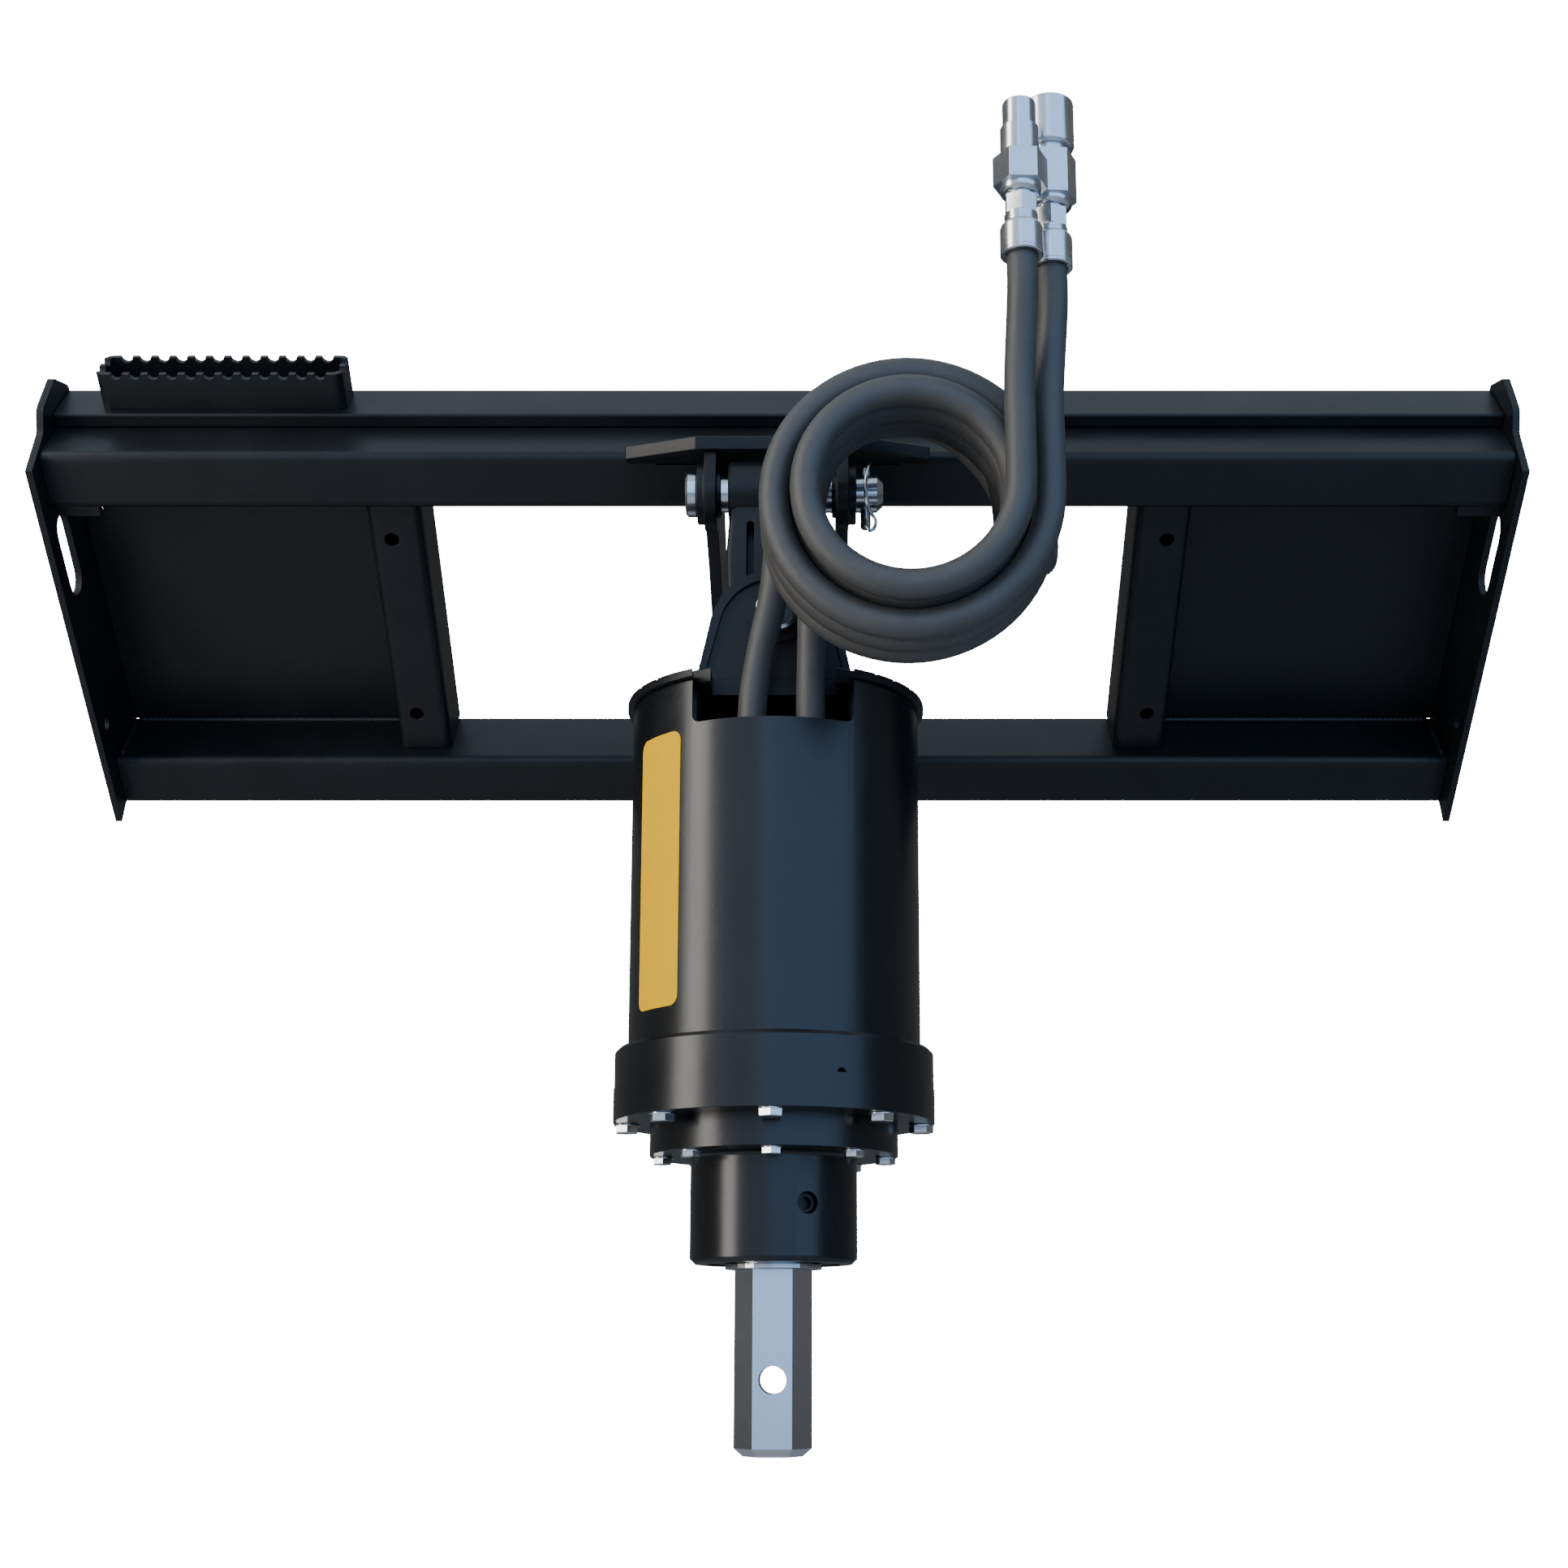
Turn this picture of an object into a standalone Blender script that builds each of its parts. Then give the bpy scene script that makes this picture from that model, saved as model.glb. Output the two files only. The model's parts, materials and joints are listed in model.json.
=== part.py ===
"""Earth auger drive on a skid-steer mounting frame, held out in front of the loader.

Units are metres and +Z is up. The origin is the middle of the frame's rear plane,
where a loader's coupler holds it. The frame is rolled forward about X, and the
drive hangs plumb from the swing pin in front of it.
"""
import math

import bmesh
import bpy
from mathutils import Matrix, Vector

# Clearances
GAP = 0.0003            # between touching pieces
RUN = 0.0003            # radial play of a turning fit

# Mounting frame, drawn standing upright and then rolled by FRAME_ROLL
FRAME_ROLL = math.radians(50.0)
FRAME_WIDTH = 1.235
SIDE_PLATE_T = 0.006
RAIL_SPACING = 0.301
RAIL_HEIGHT = 0.050
RAIL_DEPTH = 0.075
RAIL_WALL = 0.004
RAIL_CORNER = 0.008
FRONT_INSET = 0.020      # rail face behind the side plate's front edge
LIP_DEPTH = 0.050
LIP_T = 0.012
LIP_OVERHANG = 0.026
COUPLER_PLATE_T = 0.006
POST_INNER_X = 0.305
POST_WIDTH = 0.047
POST_DEPTH = 0.057
POST_WALL = 0.005
POST_HOLE_D = 0.0125
POST_HOLE_X = 0.333
POST_HOLE_SPACING = 0.176
NOTCH_WIDTH = 0.0165
NOTCH_HEIGHT = 0.040
STOP_WIDTH = 0.036
STOP_HEIGHT = 0.012
STOP_T = 0.008
SLOT_LENGTH = 0.075
SLOT_WIDTH = 0.030
SLOT_UP = 0.076
SLOT_BACK = -0.060
PIN_HOLE_D = 0.012
DOUBLER_WIDTH = 0.202
DOUBLER_T = 0.002

# Step tread on the top lip
TREAD_LENGTH = 0.207
TREAD_WIDTH = 0.040
TREAD_HEIGHT = 0.031
TREAD_WALL = 0.005
TREAD_INSET = 0.149       # tread's middle from the left side plate's outer face
TREAD_TEETH = 13
TREAD_BITE = 0.0048

# Hitch
PIN_OUT = 0.1276         # swing pin ahead of the rear plane
PIN_UP = 0.1663          # swing pin above the frame's middle
UPPER_PIN_D = 0.030
UPPER_PIN_HEAD_D = 0.037
UPPER_PIN_HEAD_T = 0.009
UPPER_PIN_TAIL = 0.029
EAR_INNER = 0.048
EAR_T = 0.010
EAR_LOBE = 0.030
OUTER_BOSS_D = 0.049
OUTER_BOSS_T = 0.006
INNER_BOSS_D = 0.038
INNER_BOSS_T = 0.0035
HOOD_PLATE_RISE = math.radians(37.8)
HOOD_PLATE_REACH = 0.054
HOOD_PLATE_T = 0.011
HOOD_PLATE_FRONT = 0.065
HOOD_PLATE_REAR = 0.125
HOOD_PLATE_STRAIGHT = 0.016
LINCH_D = 0.008
LINCH_LENGTH = 0.052
LINCH_WIRE = 0.003

# Cradle link between the two crossed pins
PIN_SPACING = 0.119
LINK_WIDTH = 0.077
LINK_BARREL = 0.026
LINK_LENGTH_Y = 0.091
LINK_FLARE = 0.0398
LINK_SLOT_W = 0.006
BUSH_WALL = 0.003
LOWER_PIN_D = 0.026
LOWER_PIN_HEAD_D = 0.030
LOWER_PIN_HEAD_T = 0.007
WASHER_D = 0.034
WASHER_T = 0.002

# The drive hangs plumb with its hoses when its axis sits this far from the pins
PLUMB_Y = 0.005
PLUMB_X = 0.003

# Hood and head plate, heights measured down from the lower pin
HOOD_HALF = 0.060
HOOD_ARC = 0.0505
HOOD_APEX = 0.0335
HOOD_FACE = 0.058
HOOD_T = 0.012
HOOD_RIM = 0.007
HOOD_RECESS = 0.003
HOOD_BOSS_D = 0.050
HEAD_TOP = -0.055
HEAD_T = 0.013
HEAD_R = 0.0995

# Shell and cap
SHELL_R = 0.1123
SHELL_WALL = 0.006
SHELL_TOP = -0.0674
SHELL_BOTTOM = -0.3366
CAP_R = 0.117
CAP_T = 0.0065
NOTCH_HALF = 0.0605
NOTCH_DROP = 0.0344
NOTCH_CORNER = 0.005

# Gearbox
COVER_R = 0.1222
COVER_H = 0.0302
COVER_WALL = 0.0125
BASE_R = 0.1228
BASE_H = 0.0255
BASE_FLOOR = 0.0065
CASE_BORE = 0.1063
NECK_R = 0.0946
NECK_H = 0.0136
NECK_BORE = 0.0765
HUB_FLANGE_T = 0.0113
HUB_R = 0.0634
HUB_BORE = 0.050
HUB_BOTTOM = -0.498
FLANGE_BOLT_PCR = 0.1125
FLANGE_BOLT_AF = 0.016
FLANGE_BOLT_HEAD = 0.0065
HUB_BOLT_PCR = 0.085
HUB_BOLT_AF = 0.013
HUB_BOLT_HEAD = 0.0055
BOLT_COUNT = 8
PLUG_D = 0.0165
PLUG_Z = -0.4555
PLUG_AZIMUTH = math.radians(24.5)

# Planetary gears
MODULE = 0.0035
SUN_TEETH = 18
PLANET_TEETH = 18
RING_TEETH = 54
PLANETS = 3
PRESSURE_ANGLE = math.radians(20.0)
BACKLASH = 0.0005
GEAR_FACE = 0.030
GEAR_TOP = -0.353
SUN_SHAFT_R = 0.015
PLANET_PIN_R = 0.009
CARRIER_R = 0.075
CARRIER_T = 0.010

# Output shaft
JOURNAL_R = 0.030
HEX_AF = 0.0508
HEX_TOP = -0.502
HEX_BOTTOM = -0.639
HEX_CHAMFER = 0.006
CROSS_HOLE_D = 0.0205
CROSS_HOLE_UP = 0.0557
SLINGER_R = 0.0365
SLINGER_T = 0.0034
BEARING_H = 0.022

# Motor
MOTOR_R = 0.062
MOTOR_FLANGE_R = 0.074
MOTOR_FLANGE_T = 0.014
MOTOR_TOP = -0.150
MOTOR_TOP_CHAMFER = 0.006
MOTOR_BORE_PLAY = 0.001
MOTOR_BORE_DEPTH = 0.055
BAND_LOW = -0.235         # raised band round the motor, from its lower to its upper end
BAND_HIGH = -0.202
BAND_RISE = 0.004
BAND_SLOPE = 0.003
PORT_BLOCK = (0.074, 0.040, 0.034)
PORT_Y = -0.082
PORT_Z = -0.190
PORT_BLOCK_X = 0.006
PORT_BLOCK_BACK = 0.012   # block's middle behind its ports
PORT_BLOCK_CORNER = 0.003
VALVE_SIZE = (0.046, 0.056, 0.140)
VALVE_Z = -0.165
VALVE_REACH = 0.100       # outer face of each valve block from the drive's axis
RELIEF_VALVE_Y = 0.004
BRAKE_VALVE_X = -0.006
TIE_ROD_R = 0.0875
TIE_ROD_D = 0.012
TIE_NUT_AF = 0.018
TIE_NUT_ROOM_D = 0.0212
TIE_NUT_DEPTH = 0.009

# Hoses
HOSE_D = 0.022
COIL_X = 0.100
COIL_Z = 0.032
INNER_COIL_R = 0.0752
OUTER_COIL_R = 0.0976
INNER_COIL_Y = -0.238
OUTER_COIL_Y = -0.219
COIL_PITCH = 0.0245
COIL_TURNS = 3
ENTRY_ANGLE = math.radians(4.0)
MALE_COUPLER = (0.177, -0.246)
MALE_BASE_Z = 0.1944
FEMALE_COUPLER = (0.202, -0.212)
FEMALE_BASE_Z = 0.2021


# Scene helpers

def clear_scene():
    for old in list(bpy.data.objects):
        bpy.data.objects.remove(old, do_unlink=True)


def finish(name, color, roughness, metallic):
    mat = bpy.data.materials.new(name)
    mat.use_nodes = True
    shader = mat.node_tree.nodes["Principled BSDF"]
    shader.inputs["Base Color"].default_value = (*color, 1.0)
    shader.inputs["Roughness"].default_value = roughness
    shader.inputs["Metallic"].default_value = metallic
    return mat


PAINT = (0.012, 0.014, 0.017)
GLOSS = (0.010, 0.011, 0.014)
ZINC = (0.62, 0.64, 0.67)
STEEL = (0.52, 0.54, 0.57)
RUBBER = (0.035, 0.037, 0.040)


def empty(name, location, parent=None, tilt=0.0):
    axis = bpy.data.objects.new(name, None)
    bpy.context.collection.objects.link(axis)
    axis.location = location
    axis.rotation_euler = (tilt, 0.0, 0.0)
    axis.parent = parent
    return axis


def add(name, bm, parent, look, location=(0, 0, 0), rotation=(0, 0, 0), smooth=True):
    """Turn a bmesh into a named object with its own material."""
    bmesh.ops.remove_doubles(bm, verts=bm.verts, dist=1e-7)
    bmesh.ops.recalc_face_normals(bm, faces=bm.faces)
    mesh = bpy.data.meshes.new(name)
    bm.to_mesh(mesh)
    bm.free()
    obj = bpy.data.objects.new(name, mesh)
    bpy.context.collection.objects.link(obj)
    obj.parent = parent
    obj.location = location
    obj.rotation_euler = rotation
    if look is not None:
        color, roughness, metallic = look
        mesh.materials.append(finish(name, color, roughness, metallic))
    if smooth:
        mesh.shade_smooth()
        mesh.set_sharp_from_angle(angle=math.radians(35))
    return obj


SATIN = (PAINT, 0.45, 0.0)
SHINY = (GLOSS, 0.12, 0.0)
PLATED = (ZINC, 0.25, 1.0)
BARE = (STEEL, 0.3, 1.0)
HOSE = (RUBBER, 0.75, 0.0)


def ring_of_points(radius, count, start=0.0):
    return [(radius * math.cos(start + math.tau * k / count),
             radius * math.sin(start + math.tau * k / count)) for k in range(count)]


def rounded(points, radii, steps=4):
    """Outline with each corner replaced by an arc of its own radius."""
    out = []
    for k, point in enumerate(points):
        here = Vector(point)
        before = Vector(points[k - 1])
        after = Vector(points[(k + 1) % len(points)])
        radius = radii[k] if isinstance(radii, (list, tuple)) else radii
        if radius <= 0.0:
            out.append(tuple(here))
            continue
        a = (before - here).normalized()
        b = (after - here).normalized()
        half = a.angle(b) / 2
        reach = radius / math.tan(half)
        centre = here + (a + b).normalized() * (radius / math.sin(half))
        first = here + a * reach - centre
        last = here + b * reach - centre
        turn = first.angle_signed(last)
        for s in range(steps + 1):
            out.append(tuple(centre + Matrix.Rotation(-turn * s / steps, 2) @ first))
    return out


def rectangle(width, height, x=0.0, y=0.0):
    w, h = width / 2, height / 2
    return [(x - w, y - h), (x + w, y - h), (x + w, y + h), (x - w, y + h)]


def plate(outline, low, high, plane="XY"):
    """Closed plate from an outline, thick from low to high along the plane's normal."""
    bm = bmesh.new()
    to_space = {
        "XY": lambda a, b, c: (a, b, c),
        "YZ": lambda a, b, c: (c, a, b),
        "XZ": lambda a, b, c: (a, c, b),
    }[plane]
    verts = [bm.verts.new(to_space(a, b, low)) for a, b in outline]
    face = bm.faces.new(verts)
    grown = bmesh.ops.extrude_face_region(bm, geom=[face])
    moved = [v for v in grown["geom"] if isinstance(v, bmesh.types.BMVert)]
    shift = Vector(to_space(0.0, 0.0, high - low))
    bmesh.ops.translate(bm, verts=moved, vec=shift)
    return bm


def lathe(profile, segments, axis="Z"):
    """Spin a closed (radius, height) profile a full turn."""
    bm = bmesh.new()
    verts = [bm.verts.new((r, 0.0, z)) for r, z in profile]
    edges = [bm.edges.new((verts[k - 1], verts[k])) for k in range(len(verts))]
    bmesh.ops.spin(bm, geom=verts + edges, cent=(0, 0, 0), axis=(0, 0, 1),
                   angle=math.tau, steps=segments, use_merge=True, use_duplicate=False)
    bmesh.ops.remove_doubles(bm, verts=bm.verts, dist=1e-7)
    on_axis = [e for e in bm.edges if all(v.co.xy.length < 1e-7 for v in e.verts)]
    bmesh.ops.delete(bm, geom=on_axis, context="EDGES")
    turn = {"Z": Matrix.Identity(4),
            "X": Matrix.Rotation(math.pi / 2, 4, "Y"),
            "Y": Matrix.Rotation(-math.pi / 2, 4, "X")}[axis]
    bmesh.ops.transform(bm, matrix=turn, verts=bm.verts)
    return bm


def tube_profile(inner, outer, low, high, bevel=0.0):
    if bevel <= 0.0:
        return [(inner, low), (outer, low), (outer, high), (inner, high)]
    return [(inner, low), (outer - bevel, low), (outer, low + bevel),
            (outer, high - bevel), (outer - bevel, high), (inner, high)]


def rod_profile(radius, low, high, bevel=0.0):
    return [(0.0, low), (radius - bevel, low), (radius, low + bevel),
            (radius, high - bevel), (radius - bevel, high), (0.0, high)] if bevel > 0.0 else [
            (0.0, low), (radius, low), (radius, high), (0.0, high)]


def join(parts):
    """One bmesh that holds several separate closed bodies."""
    whole = bmesh.new()
    for part in parts:
        holder = bpy.data.meshes.new("part")
        part.to_mesh(holder)
        part.free()
        whole.from_mesh(holder)
        bpy.data.meshes.remove(holder)
    return whole


def moved(bm, matrix):
    bmesh.ops.transform(bm, matrix=matrix, verts=bm.verts)
    return bm


def cut(obj, cutter_bm, name):
    """Cut a shape out of an object, in the object's own coordinates."""
    cutter = add(name, cutter_bm, obj, None, smooth=False)
    cutter.hide_render = True
    cutter.display_type = "WIRE"
    tool = obj.modifiers.new(name, "BOOLEAN")
    tool.operation = "DIFFERENCE"
    tool.solver = "EXACT"
    tool.object = cutter
    return obj


def fuse(obj, extra_bm, name):
    """Weld a shape onto an object, in the object's own coordinates."""
    helper = add(name, extra_bm, obj, None, smooth=False)
    helper.hide_render = True
    helper.display_type = "WIRE"
    tool = obj.modifiers.new(name, "BOOLEAN")
    tool.operation = "UNION"
    tool.solver = "EXACT"
    tool.object = helper
    return obj


# Mounting frame

def side_plate_outline():
    """Side plate seen from +X: (back, up). The hook rises behind the top rail."""
    front = -RAIL_DEPTH - FRONT_INSET
    top = RAIL_SPACING / 2 + RAIL_HEIGHT / 2
    bottom = -top
    rear_hook = LIP_OVERHANG + 0.003
    corners = [(front, bottom - 0.0055), (-RAIL_DEPTH, bottom + 0.0012),
               (0.0, bottom - 0.0005), (0.0, top - 0.006), (rear_hook, top + 0.004),
               (rear_hook - 0.001, top + 0.0155), (0.0005, top + 0.0335),
               (-0.0405, top + 0.0245), (-0.0515, top + 0.0085), (front, top - 0.005)]
    radii = [0.0, 0.0, 0.0, 0.004, 0.002, 0.003, 0.004, 0.012, 0.012, 0.0]
    return rounded(corners, radii, 3)


def side_plates(frame):
    outer = FRAME_WIDTH / 2
    front_mid = -RAIL_DEPTH - FRONT_INSET / 2
    for side, name in ((-1, "side_plate_left"), (1, "side_plate_right")):
        near, far = sorted((side * outer, side * (outer - SIDE_PLATE_T)))
        body = add(name, plate(side_plate_outline(), near, far, "YZ"), frame, SATIN, smooth=False)
        half = (SLOT_LENGTH - SLOT_WIDTH) / 2
        slot = rounded(rectangle(SLOT_WIDTH, 2 * half + SLOT_WIDTH, SLOT_BACK, SLOT_UP),
                       SLOT_WIDTH / 2 - 1e-5, 5)
        cut(body, plate(slot, near - 0.01, far + 0.01, "YZ"), name + "_slot")
        hole = [(a + front_mid + 0.012, b - 0.088) for a, b in ring_of_points(PIN_HOLE_D / 2, 12)]
        cut(body, plate(hole, near - 0.01, far + 0.01, "YZ"), name + "_hole")


def rail(name, height, frame):
    """Square-cornered hollow section between the side plates, open at its ends."""
    half = FRAME_WIDTH / 2 - SIDE_PLATE_T - GAP
    outside = rounded(rectangle(RAIL_DEPTH, RAIL_HEIGHT, -RAIL_DEPTH / 2, height), RAIL_CORNER, 3)
    inner_corner = RAIL_CORNER - RAIL_WALL
    inside = rounded(rectangle(RAIL_DEPTH - 2 * RAIL_WALL, RAIL_HEIGHT - 2 * RAIL_WALL,
                               -RAIL_DEPTH / 2, height), inner_corner, 3)
    bm = bmesh.new()
    loops = []
    for outline in (outside, inside):
        verts = [bm.verts.new((-half, a, b)) for a, b in outline]
        loops.append([bm.edges.new((verts[k - 1], verts[k])) for k in range(len(verts))])
    bridged = bmesh.ops.bridge_loops(bm, edges=loops[0] + loops[1])
    grown = bmesh.ops.extrude_face_region(bm, geom=bridged["faces"])
    far = [v for v in grown["geom"] if isinstance(v, bmesh.types.BMVert)]
    bmesh.ops.translate(bm, verts=far, vec=(2 * half, 0.0, 0.0))
    return add(name, bm, frame, SATIN)


def latch_stops(top_rail):
    """Two small tabs welded under the ends of the top rail."""
    wall = FRAME_WIDTH / 2 - SIDE_PLATE_T - GAP
    low = RAIL_SPACING / 2 - RAIL_HEIGHT / 2
    front = -RAIL_DEPTH + RAIL_CORNER
    for side, word in ((-1, "left"), (1, "right")):
        stop = rectangle(STOP_WIDTH, STOP_HEIGHT, side * (wall - 0.001 - STOP_WIDTH / 2),
                         low - STOP_HEIGHT / 2 + 0.002)
        tab = plate(rounded(stop, [0.002, 0.002, 0, 0], 2), front, front + STOP_T, "XZ")
        fuse(top_rail, tab, "latch_stop_" + word)


def top_lip(frame):
    half = FRAME_WIDTH / 2 - SIDE_PLATE_T - GAP
    low = RAIL_SPACING / 2 + RAIL_HEIGHT / 2 + GAP
    outline = rounded(rectangle(LIP_DEPTH, LIP_T, LIP_OVERHANG - LIP_DEPTH / 2, low + LIP_T / 2),
                      0.0015, 2)
    return add("top_lip", plate(outline, -half, half, "YZ"), frame, SATIN, smooth=False)


def coupler_plates(frame):
    clear = RAIL_SPACING / 2 - RAIL_HEIGHT / 2 - GAP
    wall = FRAME_WIDTH / 2 - SIDE_PLATE_T - GAP
    for side, word in ((-1, "left"), (1, "right")):
        inner = POST_INNER_X
        corners = [(inner, -clear), (wall, -clear), (wall, clear - NOTCH_HEIGHT),
                   (wall - NOTCH_WIDTH, clear - NOTCH_HEIGHT), (wall - NOTCH_WIDTH, clear),
                   (inner, clear)]
        outline = rounded([(side * a, b) for a, b in corners], [0, 0, 0.004, 0.006, 0, 0], 3)
        add("coupler_plate_" + word, plate(outline, -COUPLER_PLATE_T, 0.0, "XZ"), frame, SATIN,
            smooth=False)
        guide_post(side, word, clear, frame)


def guide_post(side, word, clear, frame):
    """Folded channel between the rails and on the plate, with two bolt holes in its web."""
    a, b = POST_INNER_X, POST_INNER_X + POST_WIDTH
    w, d = POST_WALL, POST_DEPTH
    foot = -COUPLER_PLATE_T - GAP
    section = [(a, foot), (a, -d), (b, -d), (b, foot), (b - w, foot), (b - w, -d + w),
               (a + w, -d + w), (a + w, foot)]
    radii = [0, 0.008, 0.008, 0, 0, 0.003, 0.003, 0]
    outline = rounded([(side * x, y) for x, y in section], radii, 3)
    post = add("guide_post_" + word, plate(outline, -clear, clear, "XY"), frame, SATIN)
    for level in (-0.5, 0.5):
        hole = [(x + side * POST_HOLE_X, z + level * POST_HOLE_SPACING)
                for x, z in ring_of_points(POST_HOLE_D / 2, 12)]
        cut(post, plate(hole, -d - 0.005, -d + w + 0.005, "XZ"), f"post_hole_{word}_{level}")


def step_tread(frame):
    """Upright bar ring on the lip, its top edge bitten into rows of teeth."""
    low = RAIL_SPACING / 2 + RAIL_HEIGHT / 2 + GAP + LIP_T + GAP
    back = LIP_OVERHANG - 0.001
    middle = back - TREAD_WIDTH / 2
    centre = TREAD_INSET - FRAME_WIDTH / 2
    outside = rounded(rectangle(TREAD_LENGTH, TREAD_WIDTH, centre, middle), 0.008, 3)
    inside = rounded(rectangle(TREAD_LENGTH - 2 * TREAD_WALL, TREAD_WIDTH - 2 * TREAD_WALL,
                               centre, middle), 0.003, 3)
    bm = bmesh.new()
    edges = []
    for outline in (outside, inside):
        verts = [bm.verts.new((x, y, low)) for x, y in outline]
        edges += [bm.edges.new((verts[k - 1], verts[k])) for k in range(len(verts))]
    bridged = bmesh.ops.bridge_loops(bm, edges=edges)
    grown = bmesh.ops.extrude_face_region(bm, geom=bridged["faces"])
    top = [v for v in grown["geom"] if isinstance(v, bmesh.types.BMVert)]
    bmesh.ops.translate(bm, verts=top, vec=(0.0, 0.0, TREAD_HEIGHT))
    tread = add("step_tread", bm, frame, SATIN, smooth=False)
    pitch = (TREAD_LENGTH - 0.006) / TREAD_TEETH
    bites = []
    for k in range(TREAD_TEETH):
        x = centre + pitch * (k - (TREAD_TEETH - 1) / 2)
        shape = [(x + a, low + TREAD_HEIGHT + 0.001 + b)
                 for a, b in ring_of_points(TREAD_BITE + 0.001, 10, 0.3)]
        bites.append(plate(shape, middle - TREAD_WIDTH, middle + TREAD_WIDTH, "XZ"))
    cut(tread, join(bites), "tread_bites")


def rail_doubler(frame):
    """Thin reinforcing plate on the top rail's face, behind the hitch ears."""
    level = RAIL_SPACING / 2
    height = RAIL_HEIGHT - 2 * RAIL_CORNER
    front = -RAIL_DEPTH - GAP
    outline = rectangle(DOUBLER_WIDTH, height, 0.0, level)
    add("rail_doubler", plate(outline, front - DOUBLER_T, front, "XZ"), frame, SATIN, smooth=False)


def hood_plate_frame():
    """Where the sloping hitch plate starts on the rail's rounded corner, and its direction."""
    centre = Vector((-RAIL_DEPTH + RAIL_CORNER, RAIL_SPACING / 2 + RAIL_HEIGHT / 2 - RAIL_CORNER))
    out = Vector((-math.cos(HOOD_PLATE_RISE), math.sin(HOOD_PLATE_RISE)))
    up = Vector((math.sin(HOOD_PLATE_RISE), math.cos(HOOD_PLATE_RISE)))
    return centre + out * (RAIL_CORNER + GAP), out, up


def hitch_top_plate(frame):
    start, out, up = hood_plate_frame()
    reach, straight = HOOD_PLATE_REACH, HOOD_PLATE_STRAIGHT
    outline = [(-HOOD_PLATE_REAR, 0.0), (HOOD_PLATE_REAR, 0.0), (HOOD_PLATE_REAR, straight),
               (HOOD_PLATE_FRONT, reach), (-HOOD_PLATE_FRONT, reach), (-HOOD_PLATE_REAR, straight)]
    bm = plate(outline, -HOOD_PLATE_T / 2, HOOD_PLATE_T / 2, "XY")
    basis = Matrix(((1, 0, 0, 0), (0, out.x, up.x, start.x), (0, out.y, up.y, start.y), (0, 0, 0, 1)))
    return add("hitch_top_plate", moved(bm, basis), frame, SATIN, smooth=False)


def ear_outline():
    """Ear seen from +X: under the top plate, round the pin, down to the lower rail."""
    start, out, up = hood_plate_frame()
    under = start - up * (HOOD_PLATE_T / 2 + GAP)
    face = -RAIL_DEPTH - GAP - DOUBLER_T - GAP
    clear = RAIL_SPACING / 2 - RAIL_HEIGHT / 2 - GAP
    pin = Vector((-PIN_OUT, PIN_UP))
    along = (pin - under).dot(out)
    meets = under + out * ((face - 0.001 - under.x) / out.x)
    lobe_front = math.atan2(out.y, out.x)
    lobe = []
    steps = 9
    for k in range(steps + 1):
        angle = lobe_front - math.radians(8) + math.radians(122) * k / steps
        lobe.append((pin.x + EAR_LOBE * math.cos(angle), pin.y + EAR_LOBE * math.sin(angle)))
    shoulder = under + out * (along + 0.012)
    return [tuple(meets), tuple(shoulder)] + lobe + [
        (-PIN_OUT + 0.013, PIN_UP - 0.073), (-RAIL_DEPTH - 0.024, PIN_UP - 0.126),
        (-RAIL_DEPTH - 0.012, -clear + 0.040), (-RAIL_DEPTH + 0.008, -clear),
        (-0.012, -clear), (-0.012, clear), (face, clear)]


def hitch_ears(frame):
    for side, word in ((-1, "left"), (1, "right")):
        near, far = sorted((side * EAR_INNER, side * (EAR_INNER + EAR_T)))
        ear = add("hitch_ear_" + word, plate(ear_outline(), near, far, "YZ"), frame, SATIN,
                  smooth=False)
        place = Matrix.Translation((0, -PIN_OUT, PIN_UP))
        outside = (OUTER_BOSS_D / 2, OUTER_BOSS_T, EAR_INNER + EAR_T)
        inside = (INNER_BOSS_D / 2, -INNER_BOSS_T, EAR_INNER)
        for kind, (radius, thick, level) in (("outer", outside), ("inner", inside)):
            ends = sorted((side * (level - math.copysign(0.002, thick)), side * (level + thick)))
            boss = lathe(rod_profile(radius, ends[0], ends[1]), 24, "X")
            fuse(ear, moved(boss, place), f"ear_boss_{kind}_{word}")
        bore = rod_profile(UPPER_PIN_D / 2 + RUN, -0.03 + near, far + 0.03)
        cut(ear, moved(lathe(bore, 24, "X"), place), "ear_hole_" + word)


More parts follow.
